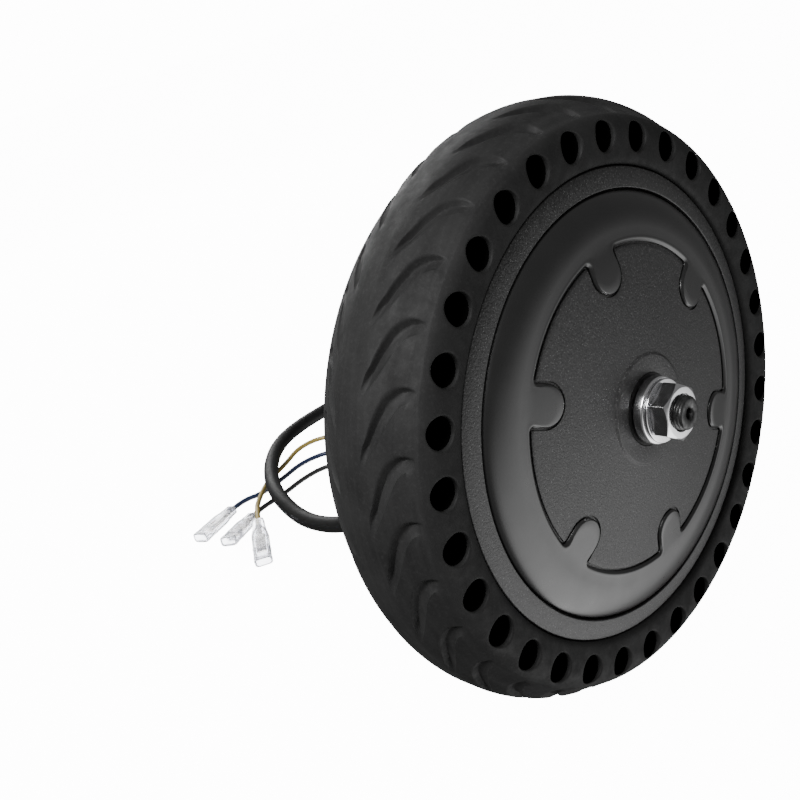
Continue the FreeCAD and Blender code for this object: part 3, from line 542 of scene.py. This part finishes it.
def tread_columns(height):
    """The columns of one groove's sector at a height: angles past the groove's head, and depths."""
    upper, lower = upper_edge(height), lower_edge(height)
    width = lower - upper
    angles = [upper + share * width for share, _ in GROOVE_SECTION]
    land = COLUMNS - len(GROOVE_SECTION)
    gap = angles[0] + PITCH - angles[-1]
    angles += [angles[-1] + gap * (i + 1) / (land + 1) for i in range(land)]
    centre = 1 - smooth(0.0, UPPER_EDGE[0][0], height)
    even = [upper_edge(0) + COLUMN_STEP * i for i in range(COLUMNS)]
    angles = [angle + (other - angle) * centre for angle, other in zip(angles, even)]
    start = GROOVE_FIRST_COLUMN * COLUMN_STEP - GROOVE_PHASE
    shoulder = smooth(SHOULDER_H - SHOULDER_BLEND, SHOULDER_H, height)
    angles = [angle + (start + COLUMN_STEP * i - angle) * shoulder for i, angle in enumerate(angles)]
    fade = (1 - smooth(*GROOVE_HEAD_FADE, height)) * smooth(*GROOVE_TAIL_FADE, height)
    depths = [share * GROOVE_DEPTH * fade for _, share in GROOVE_SECTION] + [0.0] * land
    return angles, depths


def tread_row(height, side):
    """The ring of points on the crown at a height, with the grooves pressed in."""
    angles, depths = tread_columns(height)
    stagger = 0 if side == FRONT else COLUMNS // 2
    ring = []
    for index in range(SIDE_HOLES * COLUMNS):
        sector, column = divmod(index - stagger - GROOVE_FIRST_COLUMN, COLUMNS)
        angle = math.radians(GROOVE_PHASE + sector * PITCH + stagger * COLUMN_STEP + angles[column])
        radius = crown_surface(height) - depths[column]
        ring.append((radius * math.cos(angle), side * height, radius * math.sin(angle)))
    return ring


def hole_cell(side, centre_angle):
    """One cell of the sidewall with its hole: the flat, the hole's rounded rim, its wall and its bottom."""
    half, sides = COLUMNS // 2, CELL_SIDE_STEPS
    top = [(SHOULDER_R, COLUMN_STEP * i) for i in range(-half, half)]
    right = [(SHOULDER_R + (CELL_INNER_R - SHOULDER_R) * i / sides, PITCH / 2) for i in range(sides)]
    bottom = [(CELL_INNER_R, -COLUMN_STEP * i) for i in range(-half, half)]
    left = [(CELL_INNER_R + (SHOULDER_R - CELL_INNER_R) * i / sides, -PITCH / 2) for i in range(sides)]
    border = [(HOLE_PITCH_R * math.radians(angle), radius - HOLE_PITCH_R)
              for radius, angle in top + right + bottom + left]
    count = len(border)
    start = math.atan2(border[0][1], border[0][0])

    def ring(radius, share, drop):
        made = []
        for i, (across, up) in enumerate(border):
            turn = start - 2 * math.pi * i / count
            x = radius * math.cos(turn) + (across - radius * math.cos(turn)) * share
            y = radius * math.sin(turn) + (up - radius * math.sin(turn)) * share
            out = HOLE_PITCH_R + y
            height = SIDEWALL_H - HOLE_DEPTH if drop is None else sidewall_surface(out) - drop
            angle = math.radians(centre_angle) + x / HOLE_PITCH_R
            made.append((out * math.cos(angle), side * height, out * math.sin(angle)))
        return made

    rings = [ring(0.0, 1.0, 0.0)]
    rings += [ring(HOLE_R + HOLE_RIM, share, 0.0) for share in (0.62, 0.35, 0.15, 0.0)]
    for turn in np.linspace(20, 90, 5):
        a = math.radians(turn)
        rings.append(ring(HOLE_R + HOLE_RIM * (1 - math.sin(a)), 0.0, HOLE_RIM * (1 - math.cos(a))))
    for depth, radius in ((3.0, HOLE_R - 0.05), (8.0, HOLE_R - 0.15), (HOLE_DEPTH - 2.5, HOLE_R - 0.25)):
        rings.append(ring(radius, 0.0, depth))
    rings += [ring(HOLE_R - 0.8, 0.0, None), ring(HOLE_R - 3.5, 0.0, None)]
    points, faces = skin(rings)
    last = len(points) - count
    return points, faces + [tuple(range(last, last + count))]


def tyre():
    """Solid rubber tyre: swept grooves in the crown and a ring of blind holes in each sidewall."""
    heights = [height for low, high, step in ((0, 5.0, 1.25), (5.0, 16.0, 0.5), (16.0, 19.9, 0.65),
                                              (20.2, SHOULDER_H + 0.01, 0.2))
               for height in np.arange(low, high, step)]
    count = SIDE_HOLES * COLUMNS
    points, faces = [], []

    def add(more, quads):
        faces.extend(tuple(i + len(points) for i in quad) for quad in quads)
        points.extend(more)

    front = [tread_row(h, FRONT) for h in reversed(heights)]
    back = [tread_row(h, BACK) for h in heights[1:]]
    add(*skin(front + back))
    for side in (FRONT, BACK):
        rings = [circle(CELL_INNER_R, sidewall_surface(CELL_INNER_R), side, count)]
        rings += [circle(r, h, side, count) for r, h in LIP]
        add(*skin(rings))
        stagger = 0.0 if side == FRONT else PITCH / 2
        for i in range(SIDE_HOLES):
            add(*hole_cell(side, i * PITCH + stagger))
    add(*skin([circle(BEAD_R, BEAD_H, FRONT, count), circle(BEAD_R, BEAD_H, BACK, count)]))
    new_piece("tyre_skin", points, faces, "tyre_rubber", "wheel", "tyre", sharp=42, merge=True)


# ==== hub shell and covers ====
def hub_shell():
    half = [(RECESS_R, FLANGE_FACE_H, 0.35), (FLANGE_R - 0.3, FLANGE_EDGE_H + 0.1, 0.5),
            (FLANGE_R, FLANGE_EDGE_H - 0.5, 0.3), (FLANGE_R, WEB_INNER_H), (SEAT_R, WEB_INNER_H)]
    mirrored = [(r, -h, *more) for r, h, *more in reversed(half)]
    inner = [(RECESS_R, -WEB_OUTER_H), (DRUM_BORE_R, -WEB_OUTER_H), (DRUM_BORE_R, WEB_OUTER_H),
             (RECESS_R, WEB_OUTER_H)]
    turned("hub_shell_skin", half + mirrored + inner, BACK, "powder_coat", "wheel", "hub_shell", count=256)


def dome_points(start_r, end_r, drop):
    """Outline points that follow the covers' dome from one radius to another, or lie a drop below it."""
    return [(r, dome_height(r) - drop) for r in np.linspace(start_r, end_r, DOME_STEPS)]


def cover_outline(side):
    """The cover's section. The front dome is lower outside the plate, which leaves the joint's floor.

    The underside is simpler than the CAD cover's, and cuts unseen into the coil ends and the bearing.
    """
    drop = JOINT_DEPTH if side == FRONT else 0.0
    outer = dome_points(DOME_START_R, PLATE_R + 0.02, drop)
    inner = dome_points(PLATE_R, BOSS_R + 1.5, 0.0)
    return ([(COVER_R, COVER_LOW_H), (COVER_R, COVER_RIM_H, 0.6), (STEP_R, COVER_RIM_H, 0.8),
             (STEP_TOP_R, STEP_TOP_H - drop, 0.9)] + outer + inner
            + [(BOSS_R + 0.7, dome_height(BOSS_R + 0.7), 0.5), (BOSS_R - 0.1, BOSS_H, 0.7),
               (OPENING_R, BOSS_H, 0.4), (OPENING_R, SEAL_SHELF_H), (SEAL_SHELF_R, SEAL_SHELF_H),
               (SEAL_SHELF_R, SEAL_FLOOR_H), (HOUSING_R, HOUSING_H), (50.0, 20.0), (58.0, COVER_LOW_H)])


def dome_plate():
    """The part of the front dome that ends in a narrow joint along the trim's inner edge.

    The marks say which angle on the plate's inner circle belongs to which point of the trim's outline.
    """
    outline = trim_outline()
    count = len(outline)
    corner, edge, tip = ARC_STEPS, ARC_STEPS + CORNER_STEPS, ARC_STEPS + CORNER_STEPS + EDGE_STEPS
    marks = [(0, -180 / TABS), (corner, -14.5), (edge, -12.6), (tip, -11.4), (count // 2, 0.0)]
    marks += [(count - i, -angle) for i, angle in reversed(marks[:-1])]
    targets = np.interp(range(count), *zip(*marks))

    def ring(share, lift):
        made = []
        for turn in TAB_TURNS:
            for (x, y, nx, ny, _), target in zip(outline, targets):
                end = Vector((x - nx * JOINT_WIDTH, y - ny * JOINT_WIDTH))
                start = Vector((math.cos(math.radians(target)), math.sin(math.radians(target)))) * PLATE_R
                here = start.lerp(end, share)
                across = here.x * math.cos(turn) - here.y * math.sin(turn)
                up = here.x * math.sin(turn) + here.y * math.cos(turn)
                made.append((across, -dome_height(min(here.length, STEP_TOP_R)) - lift, up))
        return made

    rings = [ring(share, 0.0) for share in (0.0, 0.2, 0.4, 0.6, 0.8, 0.93, 0.985)]
    rings += [ring(1.0, -0.12)] + [ring(share, -PLATE_DEPTH) for share in (1.0, 0.5, 0.0)]
    return skin(rings, along=True)


def covers():
    for side, name in SIDES:
        rings = [circle(r, h, side, 256) for r, h in rounded(cover_outline(side))]
        points, faces = skin(rings, along=True)
        if side == FRONT:
            more, quads = dome_plate()
            faces = faces + [tuple(i + len(points) for i in quad) for quad in quads]
            points = points + more
        new_piece(name + "_cover_skin", points, faces, "powder_coat", "wheel", name + "_cover")


# ==== trim ring with tabs ====
def trim_outline():
    """The trim's inner edge over one tab's sector, as (x, y, x and y of the normal into the trim, lean).

    The tab points along +X. lean is the share of its y that a point keeps where its line meets the land.
    """
    half = TAB_WIDTH / 2
    tip_x = TAB_TIP_R + half
    sector = math.pi / TABS
    root_r = TRIM_INNER_R - TAB_ROOT_ROUND
    root_y = half + TAB_ROOT_ROUND
    root_x = math.sqrt(root_r ** 2 - root_y ** 2)
    root_angle = math.atan2(root_y, root_x)
    made = []
    for angle in np.linspace(-sector, -root_angle, ARC_STEPS, endpoint=False):
        made.append((TRIM_INNER_R * math.cos(angle), TRIM_INNER_R * math.sin(angle),
                     math.cos(angle), math.sin(angle), 1.0))
    for turn in np.linspace(-root_angle, math.pi / 2, CORNER_STEPS, endpoint=False):
        made.append((root_x + TAB_ROOT_ROUND * math.cos(turn), -root_y + TAB_ROOT_ROUND * math.sin(turn),
                     math.cos(turn), math.sin(turn), 1.0))
    for share in np.linspace(0, 1, EDGE_STEPS, endpoint=False):
        made.append((root_x + share * (tip_x - root_x), -half, 0.0, 1.0, 1.0 - (1 - TAB_LEAN) * share))
    for turn in np.linspace(-math.pi / 2, 0, TIP_STEPS + 1):
        made.append((tip_x - half * math.cos(turn), half * math.sin(turn),
                     math.cos(turn), -math.sin(turn), TAB_LEAN))
    mirrored = [(x, -y, nx, -ny, lean) for x, y, nx, ny, lean in reversed(made[1:-1])]
    return made + mirrored


def trim_cover():
    """Domed ring with six tabs, bevelled along its inner edge and rolled over at its rim."""
    outline = trim_outline()
    bevel = [(0.0, TRIM_DOME_GAP - JOINT_DEPTH), (0.0, 0.0), (0.06, 0.14), (0.16, 0.25),
             (TRIM_BEVEL - 0.25, TRIM_RELIEF - 0.22), (TRIM_BEVEL - 0.05, TRIM_RELIEF - 0.06),
             (TRIM_BEVEL + 0.25, TRIM_RELIEF)]
    land_r = TRIM_INNER_R + TRIM_BEVEL + TRIM_LAND
    crown = [(land_r, 27.5), (62.0, 27.4), (64.0, 27.2), (66.5, 26.8), (69.0, 26.15), (71.0, 25.4),
             (72.4, 24.7), (73.3, 24.05), (73.9, 23.45), (74.3, 22.85), (TRIM_R, 22.3), (TRIM_R, 22.12)]

    def placed(x, y, height, phase):
        across, up = x * math.cos(phase) - y * math.sin(phase), x * math.sin(phase) + y * math.cos(phase)
        return across, -height, up

    def surface(x, y):
        radius = math.hypot(x, y)
        if radius < STEP_TOP_R:
            return dome_height(radius)
        return np.interp(radius, [STEP_TOP_R, land_r], [STEP_TOP_H, crown[0][1] - TRIM_RELIEF])

    def ring(place):
        return [placed(*place(*entry), phase) for phase in TAB_TURNS for entry in outline]

    def spread(lean):
        """The bevel is narrower on the tabs than along the arcs between them."""
        return 1 - (1 - TAB_BEVEL_SHARE) * smooth(0.0, 0.2, 1 - lean)

    def offset(distance, lift):
        def place(x, y, nx, ny, lean):
            reach = distance * spread(lean)
            px, py = x + nx * reach, y + ny * reach
            return px, py, surface(px, py) + lift
        return place

    def toward_land(share, lift):
        def place(x, y, nx, ny, lean):
            reach = bevel[-1][0] * spread(lean)
            start = np.array((x + nx * reach, y + ny * reach))
            side = start[1] * lean
            end = np.array((math.sqrt(land_r ** 2 - side ** 2), side))
            px, py = start + (end - start) * share
            return px, py, surface(px, py) + lift
        return place

    rings = [ring(offset(distance, lift)) for distance, lift in bevel]
    rings += [ring(toward_land(share, TRIM_RELIEF + 0.03 * (1 - share)))
              for share in (0.2, 0.4, 0.6, 0.8, 1.0)]
    land_angles = [math.atan2(z, x) for x, _, z in rings[-1]]
    under_h = COVER_RIM_H + TRIM_GAP
    below = [(TRIM_R - 1.0, under_h), (STEP_R + 0.8, under_h),
             (TRIM_UNDER_R, dome_height(STEP_TOP_R) + TRIM_DOME_GAP)]
    for radius, height in crown[1:] + below:
        rings.append([(radius * math.cos(a), -height, radius * math.sin(a)) for a in land_angles])
    points, faces = skin(rings, along=True)
    new_piece("trim_cover_skin", points, faces, "trim_plastic", "wheel", "trim_cover", sharp=50)


# ==== axle and its hardware ====
def axle():
    """Blackened axle: threaded ends, a plain body and a centre hole in the front end."""
    def thread(height, start):
        """A thread's radius round the bar at a height, fading in over the first turn."""
        def wave(angle):
            turn = (height / THREAD_PITCH + angle / (2 * math.pi)) % 1.0
            fade = min(1.0, abs(height - start) / THREAD_PITCH)
            return -THREAD_DEPTH * fade * min(1.0, max(0.0, abs(2 * turn - 1) * 1.35 - 0.15))
        return wave

    count = 96
    end = AXLE_HALF
    rows = [(h, thread(h, end + 0.2)) for h in np.linspace(end - AXLE_CHAMFER, THREAD_INNER_H, THREAD_ROWS)]
    hole = [(CENTRE_HOLE_R, end - CENTRE_HOLE_DEPTH), (CENTRE_HOLE_R, end - 1.0), (2.2, end - 0.25),
            (2.5, end)]
    edge = [(THREAD_R - 1.0, end), (THREAD_R - AXLE_CHAMFER, end - 0.1)]
    body = [(AXLE_NECK_R, AXLE_NECK_H), (AXLE_NECK_R, AXLE_BODY_H), (AXLE_BODY_R, AXLE_BODY_H)]
    bore = [(LEAD_BORE_R + 0.1, end), (LEAD_BORE_R, end - 0.3), (LEAD_BORE_R, LEAD_BORE_H)]

    def plain(sections, side):
        return [circle(r, h, side, count) for r, h in sections]

    rings = plain(hole + edge, FRONT) + [circle(THREAD_R, h, FRONT, count, wave) for h, wave in rows]
    rings += plain(body, FRONT) + plain(body[::-1], BACK)
    rings += [circle(THREAD_R, h, BACK, count, wave) for h, wave in reversed(rows)]
    rings += plain(edge[::-1] + bore, BACK)
    points, faces = with_ends(*skin(rings), count)
    new_piece("axle_bar", points, faces, "axle_steel", "axle_assembly", "axle", sharp=60)


def collar(side, name):
    """Plain sleeve in the seal with a rounded, polished shoulder outside the cover."""
    turned(name + "_axle_collar_skin",
           [(THREAD_R + 0.1, COLLAR_START_H), (COLLAR_SLEEVE_R, COLLAR_START_H, 0.2),
            (COLLAR_SLEEVE_R, COLLAR_FACE_H), (COLLAR_R, COLLAR_FACE_H, 0.35),
            (COLLAR_R, COLLAR_END_H, 0.8), (THREAD_R + 0.1, COLLAR_END_H)],
           side, "chrome", "axle_assembly", name + "_axle_collar")


def washer(side, name):
    low = COLLAR_END_H + 0.06
    turned(name + "_axle_washer_skin",
           [(THREAD_R + 0.3, low), (WASHER_R - 0.15, low, 0.15), (WASHER_R, WASHER_END_H, 0.35),
            (THREAD_R + 0.3, WASHER_END_H)],
           side, "chrome", "axle_assembly", name + "_axle_washer")


def nut(side, name):
    """Hexagon nut: rounded corners and the curved edge that a 30 degree chamfer leaves on each flat."""
    corner_r = NUT_ACROSS_FLATS / math.sqrt(3)
    angles = [math.radians(NUT_PHASE + 60 * i) for i in range(6)]
    bend = rounded([(corner_r * math.cos(a), corner_r * math.sin(a), NUT_CORNER_R) for a in angles])
    outline = []
    for i, point in enumerate(bend):
        after = Vector(bend[(i + 1) % len(bend)])
        here = Vector(point)
        steps = 10 if (after - here).length > 2 else 1
        outline += [here.lerp(after, step / steps) for step in range(steps)]
    face_r = NUT_ACROSS_FLATS / 2 - NUT_FACE_INSET
    slope = math.tan(math.radians(30))

    def ring(shrink, height_of):
        return [((p * shrink(p)).x, side * height_of(p), (p * shrink(p)).y) for p in outline]

    def top(p):
        return NUT_END_H - max(0.0, p.length - face_r) * slope

    def bottom(p):
        return NUT_START_H + max(0.0, p.length - face_r) * slope * 0.6

    def at_radius(radius):
        return lambda p: radius / p.length

    def inset(p):
        return 1 - 0.10 / p.length

    bore_r = THREAD_R - 0.15
    rings = [ring(at_radius(bore_r), lambda p: NUT_START_H),
             ring(at_radius(bore_r), lambda p: NUT_END_H - 0.8),
             ring(at_radius(bore_r + 0.85), lambda p: NUT_END_H),
             ring(at_radius(face_r - 0.25), lambda p: NUT_END_H),
             ring(at_radius(face_r), lambda p: NUT_END_H - 0.03),
             ring(inset, lambda p: top(p) - 0.02), ring(lambda p: 1.0, lambda p: top(p) - 0.12),
             ring(lambda p: 1.0, lambda p: bottom(p) + 0.12), ring(inset, lambda p: bottom(p) + 0.02),
             ring(at_radius(face_r), lambda p: NUT_START_H)]
    points, faces = skin(rings, along=True)
    new_piece(name + "_axle_nut_skin", points, faces, "chrome", "axle_assembly", name + "_axle_nut",
              sharp=28)


# ==== cable, wires and connectors ====
def cord(name, route, diameter, material, node, with_pieces):
    """A round cord on a smooth curve whose control points are the route's."""
    curve = bpy.data.curves.new(name, "CURVE")
    curve.dimensions = "3D"
    spline = curve.splines.new("NURBS")
    spline.points.add(len(route) - 1)
    for point, place in zip(spline.points, route):
        point.co = (*(Vector(place) * MM), 1.0)
    spline.order_u = 3
    spline.use_endpoint_u = True
    spline.resolution_u = 16
    curve.bevel_depth = diameter / 2 * MM
    curve.bevel_resolution = 7
    curve.use_fill_caps = True
    curve.materials.append(MATERIALS[material])
    piece = bpy.data.objects.new(name, curve)
    bpy.context.scene.collection.objects.link(piece)
    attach(piece, "axle_assembly")
    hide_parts(node)


def placed_along(points, place, toward):
    """Points of a piece whose +X runs along a cord's end, moved to a place on the cord."""
    along = Vector(toward).normalized()
    across = Vector((0, 0, 1)).cross(along).normalized()
    up = along.cross(across)
    turn = Matrix((along, across, up)).transposed()
    return [tuple(turn @ Vector(p) + Vector(place)) for p in points]


def oval_ring(x, width, thick, corner):
    """A ring across the X axis: an ellipse where corner is 2, and nearer to a rectangle where it is more."""
    ring = []
    for i in range(OVAL_POINTS):
        a = 2 * math.pi * i / OVAL_POINTS
        c, s = math.cos(a), math.sin(a)
        ring.append((x, width / 2 * math.copysign(abs(c) ** (2 / corner), c),
                     thick / 2 * math.copysign(abs(s) ** (2 / corner), s)))
    return ring


def strain_relief():
    """Moulded rubber boot that tapers along the cable, with ring-shaped ribs."""
    root, end, start_r, end_r = 51.4, 69.9, 5.7, 5.05
    pitch = (end - root - 1.6) / RIBS
    outline = [(3.4, 38.0), (3.4, AXLE_HALF + 0.05), (5.6, AXLE_HALF + 0.05, 0.2),
               (5.9, AXLE_HALF + 0.6, 0.2), (5.9, root - 0.6, 0.4)]
    for i in range(RIBS):
        low = root + i * pitch
        r = start_r + (end_r - start_r) * i / RIBS
        outline += [(r - 0.65, low, 0.2), (r - 0.65, low + pitch * 0.35, 0.2), (r, low + pitch * 0.5, 0.25),
                    (r, low + pitch * 0.9, 0.25)]
    outline += [(end_r - 0.1, end - 1.4, 0.3), (end_r, end - 1.0, 0.3), (end_r, end, 0.3),
                (CABLE_D / 2 - 0.05, end), (CABLE_D / 2 - 0.05, end - 4.0), (1.5, end - 4.0), (1.5, 38.0)]
    return turned("strain_relief_boot", outline, BACK, "seal_rubber", "axle_assembly",
                  "cable_strain_relief", count=72)


def cable_sleeve():
    """Shrink sleeve that grips the cable's end and draws in round the three wires."""
    end, before = Vector(CABLE_ROUTE[-1]), Vector(CABLE_ROUTE[-2])
    rings = []
    for x, radius, lobes in ((-7.0, 4.62, 0.0), (-7.0, 4.72, 0.0), (-6.6, 4.8, 0.0), (-2.0, 4.8, 0.0),
                             (1.0, 4.75, 0.01), (4.5, 4.7, 0.02), (8.0, 4.7, 0.02), (12.5, 4.65, 0.02),
                             (13.5, 4.6, 0.02), (13.9, 4.4, 0.03), (13.7, 3.4, 0.05)):
        ring = []
        for i in range(SLEEVE_POINTS):
            a = 2 * math.pi * i / SLEEVE_POINTS
            r = radius * (1 + lobes * math.cos(3 * a))
            ring.append((x, r * math.cos(a), r * math.sin(a)))
        rings.append(ring)
    points, faces = with_ends(*skin(rings), SLEEVE_POINTS)
    points = placed_along(points, end, end - before)
    return new_piece("cable_sleeve_skin", points, faces, "seal_rubber", "axle_assembly", "cable_sleeve")


def housing(colour, route):
    """Clear flat sleeve: a neck for the wire, a wider body with ribs, and an open flared end."""
    outer = [(-4.0, 6.0, 4.6), (-3.7, 6.6, 5.0), (1.5, 6.8, 5.0), (2.0, 7.4, 5.4), (3.0, 7.4, 5.4),
             (3.5, 6.9, 5.1), (6.0, 8.6, 5.5), (9.0, 9.6, 5.8), (19.0, 9.6, 5.8), (19.4, 10.0, 6.0),
             (20.4, 10.0, 6.0), (20.8, 9.6, 5.8), (26.5, 9.7, 5.8), (27.0, 10.0, 6.0), (29.6, 10.0, 6.0),
             (30.0, 9.8, 5.8)]
    inner = [(30.0, 8.4, 4.4), (29.0, 7.9, 4.0), (8.5, 7.8, 3.9), (5.5, 6.4, 3.7), (2.0, 3.8, 3.5),
             (0.0, 3.3, 3.3), (-3.6, 3.3, 3.3), (-4.0, 3.5, 3.5)]
    rings = [oval_ring(x, w, t, 4.5) for x, w, t in outer]
    rings += [oval_ring(x, w, t, 4.0 if w > 5 else 2.0) for x, w, t in inner]
    points, faces = skin(rings, along=True)
    points = placed_along(points, route[-1], Vector(route[-1]) - Vector(route[-2]))
    return new_piece(colour + "_housing_shell", points, faces, "clear_plastic", "axle_assembly",
                     colour + "_connector_housing")


def terminal(colour, route):
    """Crimped barrel and the folded blade receptacle in front of it."""
    sections = [(0.0, 3.1, 3.1, 2.0), (0.4, 3.3, 3.3, 2.0), (2.2, 3.4, 2.9, 2.2), (3.0, 2.7, 2.5, 2.2),
                (3.4, 3.4, 2.5, 2.4), (5.6, 3.5, 2.4, 2.4), (6.4, 3.0, 1.9, 2.4), (8.0, 3.4, 1.3, 3.0),
                (9.2, 6.3, 1.5, 5.0), (9.8, 6.3, 1.7, 5.0), (16.0, 6.3, 1.7, 5.0), (16.3, 5.9, 1.4, 5.0),
                (16.5, 6.3, 1.7, 5.0), (21.4, 6.2, 1.7, 5.0), (22.0, 5.6, 1.3, 4.0)]
    rings = [oval_ring(x, w, t, corner) for x, w, t, corner in sections]
    points, faces = with_ends(*skin(rings), len(rings[0]))
    points = placed_along(points, route[-1], Vector(route[-1]) - Vector(route[-2]))
    return new_piece(colour + "_terminal_body", points, faces, "terminal_brass", "axle_assembly",
                     colour + "_connector_terminal", sharp=30)


def cables():
    sleeve = cable_sleeve()
    cord("motor_cable_sheath", CABLE_ROUTE, CABLE_D, "cable_rubber", "motor_cable",
         [strain_relief(), sleeve])
    for colour, (route, length) in WIRES.items():
        pieces = [housing(colour, route), terminal(colour, route)]
        cord(colour + "_wire_insulation", route, WIRE_D, colour + "_insulation",
             colour + "_wire", pieces)


# ==== studio ====
PALE = 14.0
FLOOR_GLOW = 13.6
FLOOR_HALF = 60.0  # metres
LOW_GLOW = 4.4


def floor():
    """A pale glowing floor that takes a faint shadow. The object's light from below is the world's."""
    mesh = bpy.data.meshes.new("studio_floor")
    height = FLOOR_Z * MM - 0.0004
    corners = [(x * FLOOR_HALF, y * FLOOR_HALF, height) for x, y in ((-1, -1), (1, -1), (1, 1), (-1, 1))]
    mesh.from_pydata(corners, [], [(0, 1, 2, 3)])
    look = bpy.data.materials.new("studio_floor")
    look.use_nodes = True
    shader = look.node_tree.nodes["Principled BSDF"]
    shader.inputs["Base Color"].default_value = (0.3, 0.3, 0.3, 1)
    shader.inputs["Roughness"].default_value = 1.0
    shader.inputs["Specular IOR Level"].default_value = 0.0
    shader.inputs["Emission Color"].default_value = (1, 1, 1, 1)
    shader.inputs["Emission Strength"].default_value = FLOOR_GLOW
    mesh.materials.append(look)
    ground = bpy.data.objects.new("studio_floor", mesh)
    ground.visible_glossy = False
    ground.visible_diffuse = False
    bpy.context.scene.collection.objects.link(ground)


def world():
    """Soft light by direction: bright from low in front on the right, dim from overhead and from behind.

    What the camera sees of it is plain and pale, like the floor.
    """
    sky = bpy.data.worlds.new("studio")
    sky.use_nodes = True
    nodes, links = sky.node_tree.nodes, sky.node_tree.links
    place = nodes.new("ShaderNodeTexCoord").outputs["Generated"]
    split = nodes.new("ShaderNodeSeparateXYZ")
    links.new(place, split.inputs["Vector"])

    def remap(value, low, high, to_low, to_high):
        node = nodes.new("ShaderNodeMapRange")
        node.interpolation_type = "SMOOTHSTEP"
        numbers = {"From Min": low, "From Max": high, "To Min": to_low, "To Max": to_high}
        for socket, number in numbers.items():
            node.inputs[socket].default_value = number
        links.new(value, node.inputs["Value"])
        return node.outputs["Result"]

    def vector(kind, value, by):
        node = nodes.new("ShaderNodeVectorMath")
        node.operation = kind
        links.new(value, node.inputs[0])
        if by:
            node.inputs[1].default_value = by
        return node.outputs

    level = vector("NORMALIZE", vector("MULTIPLY", place, (1, 1, 0))["Vector"], None)["Vector"]
    facing = vector("DOT_PRODUCT", level, (0.31, -0.95, 0.0))["Value"]
    below = remap(split.outputs["Z"], -0.75, 0.02, 1.0, 0.0)
    base = remap(split.outputs["Z"], -0.6, 0.2, 0.15, 0.28)
    front = remap(facing, 0.55, 0.99, 0.04, 1.0)
    low_front = calculate(sky.node_tree, "MULTIPLY", below, front)
    glow = calculate(sky.node_tree, "MULTIPLY", low_front, LOW_GLOW)
    light = calculate(sky.node_tree, "ADD", glow, base)
    shine = nodes.new("ShaderNodeBackground")
    links.new(light, shine.inputs["Strength"])
    seen = nodes["Background"]
    seen.inputs["Strength"].default_value = PALE
    seen.inputs["Color"].default_value = (1, 1, 1, 1)
    path = nodes.new("ShaderNodeLightPath")
    choice = nodes.new("ShaderNodeMixShader")
    links.new(path.outputs["Is Camera Ray"], choice.inputs[0])
    links.new(shine.outputs[0], choice.inputs[1])
    links.new(seen.outputs[0], choice.inputs[2])
    links.new(choice.outputs[0], nodes["World Output"].inputs["Surface"])
    bpy.context.scene.world = sky


def area_light(name, place, target, size, power):
    light = bpy.data.lights.new(name, "AREA")
    light.shape = "DISK"
    light.size = size
    light.energy = power
    lamp = bpy.data.objects.new(name, light)
    lamp.location = place
    lamp.rotation_mode = "QUATERNION"
    lamp.rotation_quaternion = (Vector(target) - Vector(place)).to_track_quat("-Z", "Y")
    bpy.context.scene.collection.objects.link(lamp)


def lights():
    area_light("left_light", (-1.12, -0.1, 1.2), (0, 0, 0), size=0.8, power=50)
    area_light("back_light", (0.6, 1.6, 0.9), (0, 0.1, 0), size=1.2, power=25)


def camera():
    """The camera looks down at the wheel from the front left, rolled so that the wheel leans."""
    azimuth, elevation, roll = (math.radians(v) for v in (-38.066, 21.351, -17.623))
    back = Vector((math.sin(azimuth) * math.cos(elevation), -math.cos(azimuth) * math.cos(elevation),
                   math.sin(elevation)))
    level = Vector((math.cos(azimuth), math.sin(azimuth), 0))
    upright = back.cross(level)
    right = level * math.cos(roll) + upright * math.sin(roll)
    up = upright * math.cos(roll) - level * math.sin(roll)
    data = bpy.data.cameras.new("camera")
    data.sensor_width, data.lens = 36.0, 44.88
    data.shift_x, data.shift_y = -0.001, -0.0015
    eye = bpy.data.objects.new("camera", data)
    eye.rotation_mode = "QUATERNION"
    eye.rotation_quaternion = Matrix((right, up, back)).transposed().to_quaternion()
    eye.location = Vector((-252.54, -224.59, 151.38)) * MM
    bpy.context.scene.collection.objects.link(eye)
    bpy.context.scene.camera = eye


# ==== the scene ====
dress_cad_nodes()
tyre()
hub_shell()
covers()
trim_cover()
axle()
for side, name in SIDES:
    collar(side, name)
    washer(side, name)
    nut(side, name)
cables()
floor()
world()
lights()
camera()
